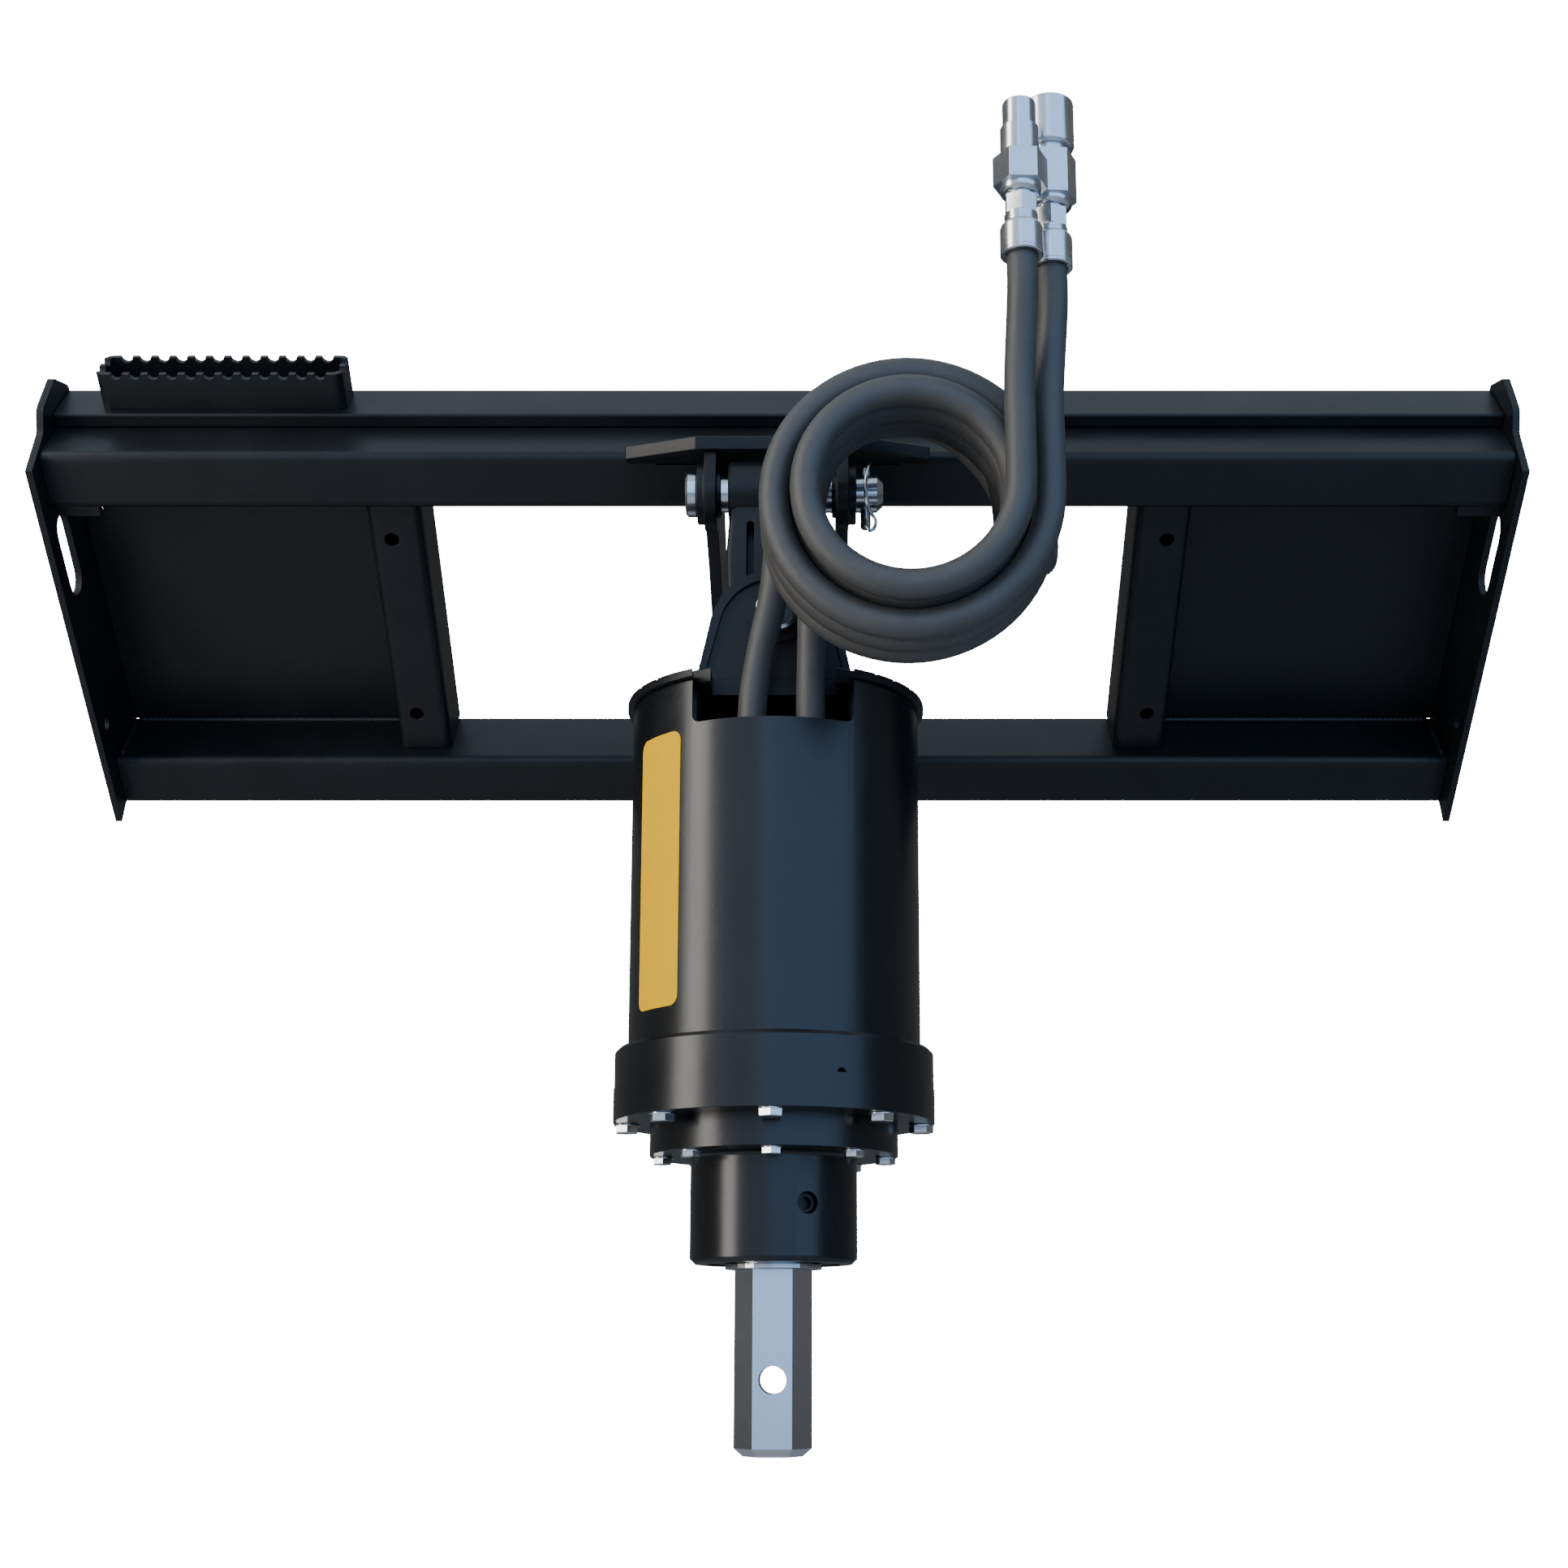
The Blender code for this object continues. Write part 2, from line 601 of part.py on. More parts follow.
def upper_pin(frame):
    """Headed swing pin through both ears, with a linch pin through its tail."""
    face = EAR_INNER + EAR_T + OUTER_BOSS_T + GAP
    r, tail = UPPER_PIN_D / 2, face + UPPER_PIN_TAIL
    head = UPPER_PIN_HEAD_D / 2
    profile = [(0.0, -face - UPPER_PIN_HEAD_T), (head - 0.0015, -face - UPPER_PIN_HEAD_T),
               (head, -face - UPPER_PIN_HEAD_T + 0.0015), (head, -face), (r, -face),
               (r, tail), (r - 0.008, tail + 0.008), (0.0, tail + 0.008)]
    pin = add("upper_pin", lathe(profile, 24, "X"), frame, PLATED, (0, -PIN_OUT, PIN_UP))
    across = face + 0.015
    hole = [(across + a, b) for a, b in ring_of_points(LINCH_D / 2 + RUN, 10)]
    cut(pin, plate(hole, -0.03, 0.03, "XY"), "linch_hole")
    linch = lathe(rod_profile(LINCH_D / 2, -LINCH_LENGTH / 2, LINCH_LENGTH / 2, 0.001), 12)
    add("linch_pin", linch, frame, PLATED, (across, -PIN_OUT, PIN_UP - 0.002))
    sweep = []
    loop_r = r + LINCH_WIRE / 2 + GAP
    steps = 14
    for k in range(steps + 1):
        angle = math.radians(-100) + math.radians(200) * k / steps
        sweep.append((across + 0.0075, -PIN_OUT + loop_r * math.sin(angle),
                      PIN_UP + loop_r * math.cos(angle)))
    curve_tube("linch_ring", sweep, LINCH_WIRE / 2, frame, PLATED, 1)


# Cords and wire

def curve_tube(name, points, radius, parent, look, resolution):
    data = bpy.data.curves.new(name, "CURVE")
    data.dimensions = "3D"
    data.bevel_depth = radius
    data.bevel_resolution = resolution
    data.use_fill_caps = True
    line = data.splines.new("POLY")
    line.points.add(len(points) - 1)
    for spot, point in zip(line.points, points):
        spot.co = (*point, 1.0)
    color, roughness, metallic = look
    data.materials.append(finish(name, color, roughness, metallic))
    obj = bpy.data.objects.new(name, data)
    bpy.context.collection.objects.link(obj)
    obj.parent = parent
    return obj


def smooth_route(points, step):
    """Even points along a Catmull-Rom curve through the route's own points."""
    knots = [Vector(p) for p in points]
    knots = [knots[0] * 2 - knots[1]] + knots + [knots[-1] * 2 - knots[-2]]
    dense = []
    for k in range(1, len(knots) - 2):
        a, b, c, d = knots[k - 1:k + 3]
        for s in range(24):
            t = s / 24
            dense.append(0.5 * (2 * b + (c - a) * t + (2 * a - 5 * b + 4 * c - d) * t * t
                                + (3 * b - a - 3 * c + d) * t ** 3))
    dense.append(knots[-2])
    out, walked = [dense[0]], 0.0
    for before, after in zip(dense, dense[1:]):
        walked += (after - before).length
        if walked >= step:
            out.append(after)
            walked = 0.0
    if (out[-1] - dense[-1]).length < step / 2:
        out.pop()
    out.append(dense[-1])
    return out


# Cradle link

def cradle_link(swing):
    """Cast cross link: one barrel across, one barrel fore and aft, joined by a ribbed web."""
    bore = UPPER_PIN_D / 2 + RUN + BUSH_WALL + RUN
    lower_bore = LOWER_PIN_D / 2 + RUN + BUSH_WALL + RUN
    half, half_y = LINK_WIDTH / 2, LINK_LENGTH_Y / 2
    body = add("cradle_link", lathe(rod_profile(LINK_BARREL, -half, half, 0.002), 24, "X"),
               swing, SATIN)
    lower = moved(lathe(rod_profile(LINK_BARREL, -half_y, half_y, 0.002), 24, "Y"),
                  Matrix.Translation((PLUMB_X, PLUMB_Y, -PIN_SPACING)))
    fuse(body, lower, "link_lower_barrel")
    top, bottom = -0.010, -PIN_SPACING + 0.010
    bm = bmesh.new()
    rings = []
    for z, x_half, y_half, x_off, y_off in ((top, half - 0.002, 0.017, 0, 0),
                                            (-0.058, LINK_FLARE, 0.024, 0, PLUMB_Y / 2),
                                            (bottom, LINK_FLARE - 0.002, 0.040, 0, PLUMB_Y)):
        outline = rounded(rectangle(2 * x_half, 2 * y_half, x_off, y_off), 0.006, 2)
        rings.append([bm.verts.new((x, y, z)) for x, y in outline])
    count = len(rings[0])
    for lower_ring, upper_ring in zip(rings[1:], rings):
        for k in range(count):
            bm.faces.new((lower_ring[k - 1], lower_ring[k], upper_ring[k], upper_ring[k - 1]))
    bm.faces.new(rings[0])
    bm.faces.new(rings[-1])
    fuse(body, bm, "link_web")
    boss = moved(lathe(rod_profile(0.009, -0.0275, 0.0275, 0.0015), 16, "Y"),
                 Matrix.Translation((0.0, 0.0, -0.004)))
    fuse(body, boss, "link_boss")
    for side in (-1, 1):
        slot = rounded(rectangle(LINK_SLOT_W, 0.050, side * 0.0205, -0.056),
                       LINK_SLOT_W / 2 - 0.0003, 3)
        cut(body, plate(slot, -0.05, 0.05, "XZ"), f"link_slot_{side}")
    cut(body, lathe(rod_profile(bore, -half - 0.01, half + 0.01), 24, "X"), "link_bore")
    cut(body, moved(lathe(rod_profile(lower_bore, -half_y - 0.01, half_y + 0.01), 24, "Y"),
                    Matrix.Translation((PLUMB_X, PLUMB_Y, -PIN_SPACING))), "link_lower_bore")
    inner = UPPER_PIN_D / 2 + RUN
    upper = lathe(tube_profile(inner, inner + BUSH_WALL, -half, half), 24, "X")
    inner = LOWER_PIN_D / 2 + RUN
    lower = moved(lathe(tube_profile(inner, inner + BUSH_WALL, -half_y, half_y), 24, "Y"),
                  Matrix.Translation((PLUMB_X, PLUMB_Y, -PIN_SPACING)))
    add("upper_bush", upper, swing, BARE)
    add("lower_bush", lower, swing, BARE)


# Hood and head plate

def hood_outline(shrink=0.0):
    """Hood cheek seen from the front: straight flanks that run into a round top."""
    centre = HOOD_APEX - HOOD_ARC
    foot = HEAD_TOP + GAP + shrink
    radius = HOOD_ARC - shrink
    half = HOOD_HALF - shrink
    reach = math.hypot(half, centre - foot)
    lean = math.atan2(half, centre - foot)
    start = -math.pi / 2 + lean + math.acos(radius / reach)
    points = [(-half, foot), (half, foot)]
    steps = 14
    for k in range(steps + 1):
        angle = start + (math.pi - 2 * start) * k / steps
        points.append((radius * math.cos(angle), centre + radius * math.sin(angle)))
    return points


def hood(drive):
    """Two cheeks that straddle the link, on one base, each with a raised rim and a boss."""
    cheek_in = HOOD_FACE - HOOD_T
    body = add("hood", plate(hood_outline(), -HOOD_FACE, -cheek_in, "XZ"), drive, SATIN,
               smooth=False)
    fuse(body, plate(hood_outline(), cheek_in, HOOD_FACE, "XZ"), "hood_rear_cheek")
    base = rectangle(2 * HOOD_HALF - 0.004, 2 * HOOD_FACE - 0.002)
    fuse(body, plate(base, HEAD_TOP + GAP, HEAD_TOP + 0.012, "XY"), "hood_base")
    for face, inward in ((-HOOD_FACE, 1), (HOOD_FACE, -1)):
        near, far = sorted((face - inward * 0.005, face + inward * HOOD_RECESS))
        cut(body, plate(hood_outline(HOOD_RIM), near, far, "XZ"), f"hood_panel_{inward}")
        low, high = sorted((face + inward * (HOOD_RECESS + 0.001), face + inward * 0.0005))
        ring = [(x + PLUMB_X, z) for x, z in ring_of_points(HOOD_BOSS_D / 2, 24)]
        fuse(body, plate(ring, low, high, "XZ"), f"hood_boss_{inward}")
    hole = [(x + PLUMB_X, z) for x, z in ring_of_points(LOWER_PIN_D / 2 + RUN, 24)]
    cut(body, plate(hole, -0.09, 0.09, "XZ"), "hood_pin_hole")


def lower_pin(drive):
    """Tilt pin along Y, headed at the front, held by a ring at the back."""
    front = HOOD_FACE - 0.0005 + WASHER_T + 2 * GAP
    r, head = LOWER_PIN_D / 2, LOWER_PIN_HEAD_D / 2
    tail = HOOD_FACE + 0.014
    groove = HOOD_FACE + 0.004
    profile = [(0.0, -front - LOWER_PIN_HEAD_T), (head - 0.001, -front - LOWER_PIN_HEAD_T),
               (head, -front - LOWER_PIN_HEAD_T + 0.001), (head, -front), (r, -front),
               (r, groove), (r + 0.004, groove), (r + 0.004, groove + 0.003), (r, groove + 0.003),
               (r, tail - 0.002), (r - 0.002, tail), (0.0, tail)]
    add("lower_pin", lathe(profile, 24, "Y"), drive, PLATED, (PLUMB_X, 0, 0))
    washer = lathe(tube_profile(r + RUN, WASHER_D / 2, -front + GAP, -front + GAP + WASHER_T), 16, "Y")
    add("lower_pin_washer", washer, drive, PLATED, (PLUMB_X, 0, 0))


def rod_places():
    offset = TIE_ROD_R * math.sqrt(0.5)
    return [(sx * offset, sy * offset) for sx in (-1, 1) for sy in (-1, 1)]


def head_plate(drive):
    """Round plate on the tie rods that carries the hood, open at the front for the hoses."""
    body = add("head_plate", lathe(rod_profile(HEAD_R, HEAD_TOP - HEAD_T, HEAD_TOP, 0.0015), 48),
               drive, SATIN)
    front = rectangle(2 * NOTCH_HALF - 0.026, 0.08, 0.0, -HOOD_FACE - 0.04)
    cut(body, plate(front, HEAD_TOP - 0.03, HEAD_TOP + 0.02, "XY"), "head_front_cut")
    holes = [plate([(a + x, b + y) for a, b in ring_of_points(TIE_ROD_D / 2 + RUN, 12)],
                   HEAD_TOP - 0.03, HEAD_TOP + 0.02, "XY") for x, y in rod_places()]
    cut(body, join(holes), "head_rod_holes")
    rooms = [plate([(a + x, b + y) for a, b in ring_of_points(TIE_NUT_ROOM_D / 2, 20)],
                   HEAD_TOP - TIE_NUT_DEPTH, HEAD_TOP + 0.02, "XY") for x, y in rod_places()]
    cut(body, join(rooms), "head_nut_rooms")


def tie_rods(drive):
    """Four studs from the gearbox cover to the head plate, their nuts sunk in the plate."""
    low = SHELL_BOTTOM + GAP
    for k, (x, y) in enumerate(rod_places()):
        profile = rod_profile(TIE_ROD_D / 2, low, HEAD_TOP - 0.0006, 0.001)
        rod = add(f"tie_rod_{k + 1}", lathe(profile, 12), drive, PLATED, (x, y, 0), smooth=False)
        nut = plate(hex_points(TIE_NUT_AF, 0.2), HEAD_TOP - TIE_NUT_DEPTH + GAP, HEAD_TOP - 0.002)
        fuse(rod, nut, f"tie_rod_nut_{k + 1}")


def hex_points(across_flats, start=0.0):
    return ring_of_points(across_flats / math.sqrt(3), 6, start)


def hex_ring(across_flats, bore, low, high):
    """Hexagon nut with a round bore."""
    bm = bmesh.new()
    hexagon = [bm.verts.new((x, y, low)) for x, y in hex_points(across_flats)]
    circle = [bm.verts.new((x, y, low)) for x, y in ring_of_points(bore, 12)]
    edges = [bm.edges.new((loop[k - 1], loop[k])) for loop in (hexagon, circle)
             for k in range(len(loop))]
    bridged = bmesh.ops.bridge_loops(bm, edges=edges)
    grown = bmesh.ops.extrude_face_region(bm, geom=bridged["faces"])
    top = [v for v in grown["geom"] if isinstance(v, bmesh.types.BMVert)]
    bmesh.ops.translate(bm, verts=top, vec=(0, 0, high - low))
    return bm


# Shell and cap

def notch_outline(top):
    low = SHELL_TOP - NOTCH_DROP
    return rounded([(-NOTCH_HALF, low), (NOTCH_HALF, low), (NOTCH_HALF, top), (-NOTCH_HALF, top)],
                   [NOTCH_CORNER, NOTCH_CORNER, 0, 0], 4)


def shell(drive):
    body = add("motor_shell", lathe(tube_profile(SHELL_R - SHELL_WALL, SHELL_R,
                                                 SHELL_BOTTOM + GAP, SHELL_TOP), 48), drive, SHINY)
    cut(body, plate(notch_outline(SHELL_TOP + 0.02), -SHELL_R - 0.02, -HOOD_FACE, "XZ"), "shell_notch")


def cap_ring(drive):
    """Rim ring that closes the gap between the shell and the head plate."""
    low = SHELL_TOP + GAP
    profile = tube_profile(HEAD_R + GAP, CAP_R, low, low + CAP_T, 0.001)
    body = add("cap_ring", lathe(profile, 48), drive, SATIN)
    front = rectangle(2 * NOTCH_HALF, 0.09, 0.0, -HOOD_FACE - 0.045)
    cut(body, plate(front, low - 0.02, low + 0.03, "XY"), "cap_notch")


# Gearbox

def bolt_heads(body, word, radius, across_flats, height, face):
    """Hexagon heads standing down from a flange, one body with it."""
    heads = []
    for k, (x, y) in enumerate(ring_of_points(radius, BOLT_COUNT, -math.pi / 2)):
        head = plate(hex_points(across_flats, math.radians(11 * k)), face - height, face + 0.003)
        heads.append(moved(head, Matrix.Translation((x, y, 0))))
    fuse(body, join(heads), word + "_bolt_heads")


def gearbox(drive):
    cover_low = SHELL_BOTTOM - COVER_H
    shaft_room = SUN_SHAFT_R + 0.004
    cover_in = SHELL_BOTTOM - COVER_WALL
    cover = add("gearbox_cover", lathe([(shaft_room, cover_in), (CASE_BORE, cover_in),
                                        (CASE_BORE, cover_low + GAP), (COVER_R, cover_low + GAP),
                                        (COVER_R, SHELL_BOTTOM - 0.003),
                                        (COVER_R - 0.003, SHELL_BOTTOM),
                                        (shaft_room, SHELL_BOTTOM)], 48), drive, SHINY)
    base_low = cover_low - BASE_H
    neck_low = base_low - NECK_H
    base = add("gearbox_base", lathe([(NECK_BORE, neck_low + GAP), (NECK_R, neck_low + GAP),
                                      (NECK_R, base_low), (BASE_R, base_low), (BASE_R, cover_low),
                                      (CASE_BORE, cover_low), (CASE_BORE, base_low + BASE_FLOOR),
                                      (NECK_BORE, base_low + BASE_FLOOR)], 48), drive, SHINY)
    bolt_heads(base, "flange", FLANGE_BOLT_PCR, FLANGE_BOLT_AF, FLANGE_BOLT_HEAD, base_low)
    mark = [(a + COVER_R * math.sin(PLUG_AZIMUTH), b + cover_low)
            for a, b in ring_of_points(0.0035, 12)]
    cut(cover, plate(mark, -COVER_R - 0.01, -COVER_R + 0.018, "XZ"), "drain_notch")
    output_housing(neck_low, base, drive)
    return base_low, neck_low


def output_housing(neck_low, base, drive):
    flange_low = neck_low - HUB_FLANGE_T
    hub = add("output_housing", lathe([(HUB_BORE, HUB_BOTTOM), (HUB_R - 0.004, HUB_BOTTOM),
                                       (HUB_R, HUB_BOTTOM + 0.004), (HUB_R, flange_low),
                                       (NECK_R, flange_low), (NECK_R, neck_low),
                                       (HUB_BORE, neck_low)], 48), drive, SHINY)
    bolt_heads(hub, "hub", HUB_BOLT_PCR, HUB_BOLT_AF, HUB_BOLT_HEAD, flange_low)
    aim = Matrix.Translation((0, 0, PLUG_Z)) @ Matrix.Rotation(PLUG_AZIMUTH, 4, "Z")
    bore = moved(lathe(rod_profile(PLUG_D / 2, HUB_BORE - 0.01, HUB_R + 0.01), 16, "Y"),
                 Matrix.Rotation(math.pi, 4, "Z"))
    cut(hub, moved(bore, aim), "plug_bore")
    inner, outer = HUB_BORE + 0.001, HUB_R - 0.0045
    r = PLUG_D / 2 - GAP
    screw = moved(lathe([(0.0, inner), (r, inner), (r, outer - 0.001), (r - 0.001, outer),
                         (0.0048, outer), (0.0048, outer - 0.005), (0.0, outer - 0.005)], 16, "Y"),
                  Matrix.Rotation(math.pi, 4, "Z"))
    add("oil_plug", moved(screw, aim), drive, BARE)


def bearings_and_seal(neck_low, drive):
    inner, outer = JOURNAL_R + RUN, HUB_BORE - GAP
    upper = neck_low - 0.006
    lower = HUB_BOTTOM + 0.010
    for name, top in (("upper_bearing", upper), ("lower_bearing", lower + BEARING_H)):
        low = top - BEARING_H
        profile = [(inner, low), (outer, low), (outer, top), (outer - 0.006, top),
                   (outer - 0.006, top - 0.003), (inner + 0.005, top - 0.003),
                   (inner + 0.005, top), (inner, top)]
        add(name, lathe(profile, 24), drive, BARE)
    seal = [(inner, HUB_BOTTOM + 0.001), (outer, HUB_BOTTOM + 0.001), (outer, lower - GAP),
            (inner + 0.003, lower - GAP), (inner + 0.003, lower - 0.003), (inner, lower - 0.003)]
    add("shaft_seal", lathe(seal, 24), drive, (RUBBER, 0.6, 0.0))


# Gears

def involute_outline(teeth, inward=False):
    """Tooth outline of a spur gear, or of an internal ring when inward is set."""
    pitch_r = MODULE * teeth / 2
    base_r = pitch_r * math.cos(PRESSURE_ANGLE)
    addendum = MODULE * (1.0 if not inward else 1.25)
    dedendum = MODULE * (1.25 if not inward else 0.92)
    tip_r, root_r = pitch_r + addendum, pitch_r - dedendum
    start_r = max(base_r, root_r)
    half = math.pi / (2 * teeth)
    thin = BACKLASH / 2 / pitch_r
    half += thin if inward else -thin
    inv_pitch = math.tan(PRESSURE_ANGLE) - PRESSURE_ANGLE
    flank = []
    steps = 2
    for k in range(steps + 1):
        r = start_r + (tip_r - start_r) * k / steps
        pressure = math.acos(min(1.0, base_r / r))
        flank.append((r, half + inv_pitch - (math.tan(pressure) - pressure)))
    outline = []
    shift = math.pi / teeth if inward else 0.0
    for tooth in range(teeth):
        middle = math.tau * tooth / teeth + shift
        side = [(root_r, flank[0][1])] + flank if root_r < start_r - 1e-6 else flank
        for r, angle in side:
            outline.append((r * math.cos(middle - angle), r * math.sin(middle - angle)))
        for r, angle in reversed(side):
            outline.append((r * math.cos(middle + angle), r * math.sin(middle + angle)))
    return outline


def toothed(outline, circle, low, high):
    """Gear body between a tooth outline and a circle, one of which is the outside."""
    bm = bmesh.new()
    edges = []
    for loop in (outline, circle):
        verts = [bm.verts.new((x, y, low)) for x, y in loop]
        edges += [bm.edges.new((verts[k - 1], verts[k])) for k in range(len(verts))]
    filled = bmesh.ops.triangle_fill(bm, use_beauty=True, use_dissolve=False, edges=edges)
    faces = [f for f in filled["geom"] if isinstance(f, bmesh.types.BMFace)]
    grown = bmesh.ops.extrude_face_region(bm, geom=faces)
    top = [v for v in grown["geom"] if isinstance(v, bmesh.types.BMVert)]
    bmesh.ops.translate(bm, verts=top, vec=(0, 0, high - low))
    return bm


def gear_train(drive, shaft, sun_axis, planet_axes):
    low, high = GEAR_TOP - GEAR_FACE, GEAR_TOP
    case = CASE_BORE - GAP
    ring_low = SHELL_BOTTOM - COVER_H - BASE_H + BASE_FLOOR + GAP
    ring = toothed(involute_outline(RING_TEETH, True), ring_of_points(case, 54),
                   ring_low, SHELL_BOTTOM - COVER_WALL - GAP)
    add("ring_gear", ring, drive, BARE, smooth=False)
    sun = toothed(involute_outline(SUN_TEETH), ring_of_points(SUN_SHAFT_R, 24), low, high)
    sun_body = add("sun_gear", sun, sun_axis, BARE, smooth=False)
    reach = SHELL_BOTTOM + 0.045
    fuse(sun_body, lathe(rod_profile(SUN_SHAFT_R + 0.0005, low + 0.0005, reach, 0.001), 24),
         "sun_shaft")
    bore = PLANET_PIN_R + RUN
    for k, axis in enumerate(planet_axes):
        planet = toothed(involute_outline(PLANET_TEETH), ring_of_points(bore, 16), low, high)
        turn = math.tau * k / PLANETS + math.pi + math.pi / PLANET_TEETH
        add(f"planet_gear_{k + 1}", moved(planet, Matrix.Rotation(turn, 4, "Z")), axis, BARE,
            smooth=False)
    carrier_and_shaft(shaft, low)


def carrier_and_shaft(shaft, gear_low):
    """Output side: carrier disc, its three planet pins, and the hexagon shaft."""
    top = gear_low - 0.003
    low = top - CARRIER_T
    centre = MODULE * (SUN_TEETH + PLANET_TEETH) / 2
    disc = add("planet_carrier", lathe(tube_profile(JOURNAL_R - 0.005 + GAP, CARRIER_R, low, top,
                                                    0.001), 48), shaft, BARE)
    places = [(centre * math.cos(math.tau * k / PLANETS), centre * math.sin(math.tau * k / PLANETS))
              for k in range(PLANETS)]
    pins = [moved(lathe(rod_profile(PLANET_PIN_R, low + 0.002, GEAR_TOP + 0.001, 0.0005), 24),
                  Matrix.Translation((x, y, 0))) for x, y in places]
    fuse(disc, join(pins), "planet_pins")
    r = JOURNAL_R
    neck_top = low - GAP
    collar = HEX_TOP + SLINGER_T + GAP
    waist = HEX_AF / 2 - 0.001
    profile = [(0.0, HEX_TOP - 0.003), (waist, HEX_TOP - 0.003), (waist, collar),
               (r, collar), (r, neck_top), (r - 0.005, neck_top), (r - 0.005, top - 0.0005),
               (0.0, top - 0.0005)]
    body = add("output_shaft", lathe(profile, 36), shaft, BARE)
    hexagon = plate(hex_points(HEX_AF, 0.0), HEX_BOTTOM, HEX_TOP, "XY")
    ends = [f for f in hexagon.faces if abs(f.calc_center_median().z - HEX_BOTTOM) < 1e-6]
    bmesh.ops.inset_region(hexagon, faces=ends, thickness=HEX_CHAMFER, use_even_offset=True)
    end = min(hexagon.faces, key=lambda f: (abs(f.calc_center_median().z - HEX_BOTTOM),
                                            f.calc_center_median().xy.length))
    outer = [v for v in hexagon.verts if abs(v.co.z - HEX_BOTTOM) < 1e-6 and v not in end.verts]
    bmesh.ops.translate(hexagon, verts=outer, vec=(0, 0, HEX_CHAMFER))
    fuse(body, hexagon, "shaft_hexagon")
    hole = [(a, b + HEX_BOTTOM + CROSS_HOLE_UP) for a, b in ring_of_points(CROSS_HOLE_D / 2, 24)]
    cut(body, plate(hole, -HEX_AF, HEX_AF, "XZ"), "cross_hole")
    slinger = tube_profile(waist + GAP, SLINGER_R, HEX_TOP + GAP, HEX_TOP + SLINGER_T)
    add("shaft_slinger", lathe(slinger, 32), shaft, BARE)


# Motor and ports

def motor(drive):
    """Hydraulic motor under the shell, with a port block on its front."""
    low = SHELL_BOTTOM + GAP
    bore = SUN_SHAFT_R + MOTOR_BORE_PLAY
    depth = low + MOTOR_BORE_DEPTH
    band = MOTOR_R + BAND_RISE
    profile = [(bore, low), (MOTOR_FLANGE_R, low), (MOTOR_FLANGE_R, low + MOTOR_FLANGE_T),
               (MOTOR_R, low + MOTOR_FLANGE_T), (MOTOR_R, BAND_LOW), (band, BAND_LOW + BAND_SLOPE),
               (band, BAND_HIGH - BAND_SLOPE), (MOTOR_R, BAND_HIGH),
               (MOTOR_R, MOTOR_TOP - MOTOR_TOP_CHAMFER), (MOTOR_R - MOTOR_TOP_CHAMFER, MOTOR_TOP),
               (0.0, MOTOR_TOP), (0.0, depth), (bore, depth)]
    body = add("hydraulic_motor", lathe(profile, 40), drive, (PAINT, 0.5, 0.2))
    width, reach, height = PORT_BLOCK
    outline = rectangle(width, reach, PORT_BLOCK_X, PORT_Y + PORT_BLOCK_BACK)
    block = plate(rounded(outline, PORT_BLOCK_CORNER, 2), PORT_Z - height, PORT_Z, "XY")
    fuse(body, block, "port_block")
    side = rectangle(VALVE_SIZE[0], VALVE_SIZE[1], VALVE_SIZE[0] / 2 - VALVE_REACH, RELIEF_VALVE_Y)
    fuse(body, plate(side, VALVE_Z - VALVE_SIZE[2], VALVE_Z, "XY"), "relief_valve_block")
    back = rectangle(VALVE_SIZE[1], VALVE_SIZE[0], BRAKE_VALVE_X, VALVE_REACH - VALVE_SIZE[0] / 2)
    fuse(body, plate(back, VALVE_Z - VALVE_SIZE[2], VALVE_Z, "XY"), "brake_valve_block")


def port_adaptors(drive):
    """Straight fittings on the port block that each hose screws onto."""
    low = PORT_Z + GAP
    for x, word in ((RETURN_EXIT[0], "return"), (PRESSURE_EXIT[0], "pressure")):
        profile = [(0.005, low), (0.0135, low), (0.0135, low + 0.012), (0.010, low + 0.014),
                   (0.010, low + 0.018), (0.0135, low + 0.020), (0.0135, PORT_EXIT_Z - GAP),
                   (0.005, PORT_EXIT_Z - GAP)]
        add(f"{word}_adaptor", lathe(profile, 16), drive, PLATED, (x, PORT_Y, 0))


PORT_EXIT_Z = -0.150
RETURN_EXIT = (-0.0165, PORT_Y, PORT_EXIT_Z)
PRESSURE_EXIT = (0.0280, PORT_Y, PORT_EXIT_Z)

# Routes from the motor up behind the coil, over its top and round to its rear turn
RETURN_ROUTE = [RETURN_EXIT, (-0.0165, -0.082, -0.110), (-0.0150, -0.082, -0.075),
                (-0.0090, -0.083, -0.038), (-0.0010, -0.085, 0.000), (0.0030, -0.087, 0.040),
                (0.0050, -0.088, 0.080), (0.0180, -0.088, 0.122), (0.0520, -0.086, 0.159),
                (0.1000, -0.080, 0.173), (0.1480, -0.066, 0.162), (0.1850, -0.048, 0.130),
                (0.2050, -0.038, 0.095), (0.2110, -0.042, 0.068), (0.2095, -0.056, 0.046),
                (0.2050, -0.078, 0.032), (0.2015, -0.102, 0.029), (0.1990, -0.122, 0.033)]
PRESSURE_ROUTE = [PRESSURE_EXIT, (0.0280, -0.082, -0.110), (0.0280, -0.082, -0.075),
                  (0.0285, -0.083, -0.038), (0.0290, -0.085, 0.000), (0.0285, -0.087, 0.040),
                  (0.0295, -0.088, 0.080), (0.0415, -0.088, 0.114), (0.0670, -0.086, 0.138),
                  (0.1000, -0.081, 0.147), (0.1350, -0.074, 0.139), (0.1640, -0.064, 0.117),
                  (0.1800, -0.057, 0.092), (0.1860, -0.060, 0.068), (0.1840, -0.073, 0.047),
                  (0.1790, -0.095, 0.036), (0.1750, -0.118, 0.033), (0.1740, -0.140, 0.034)]


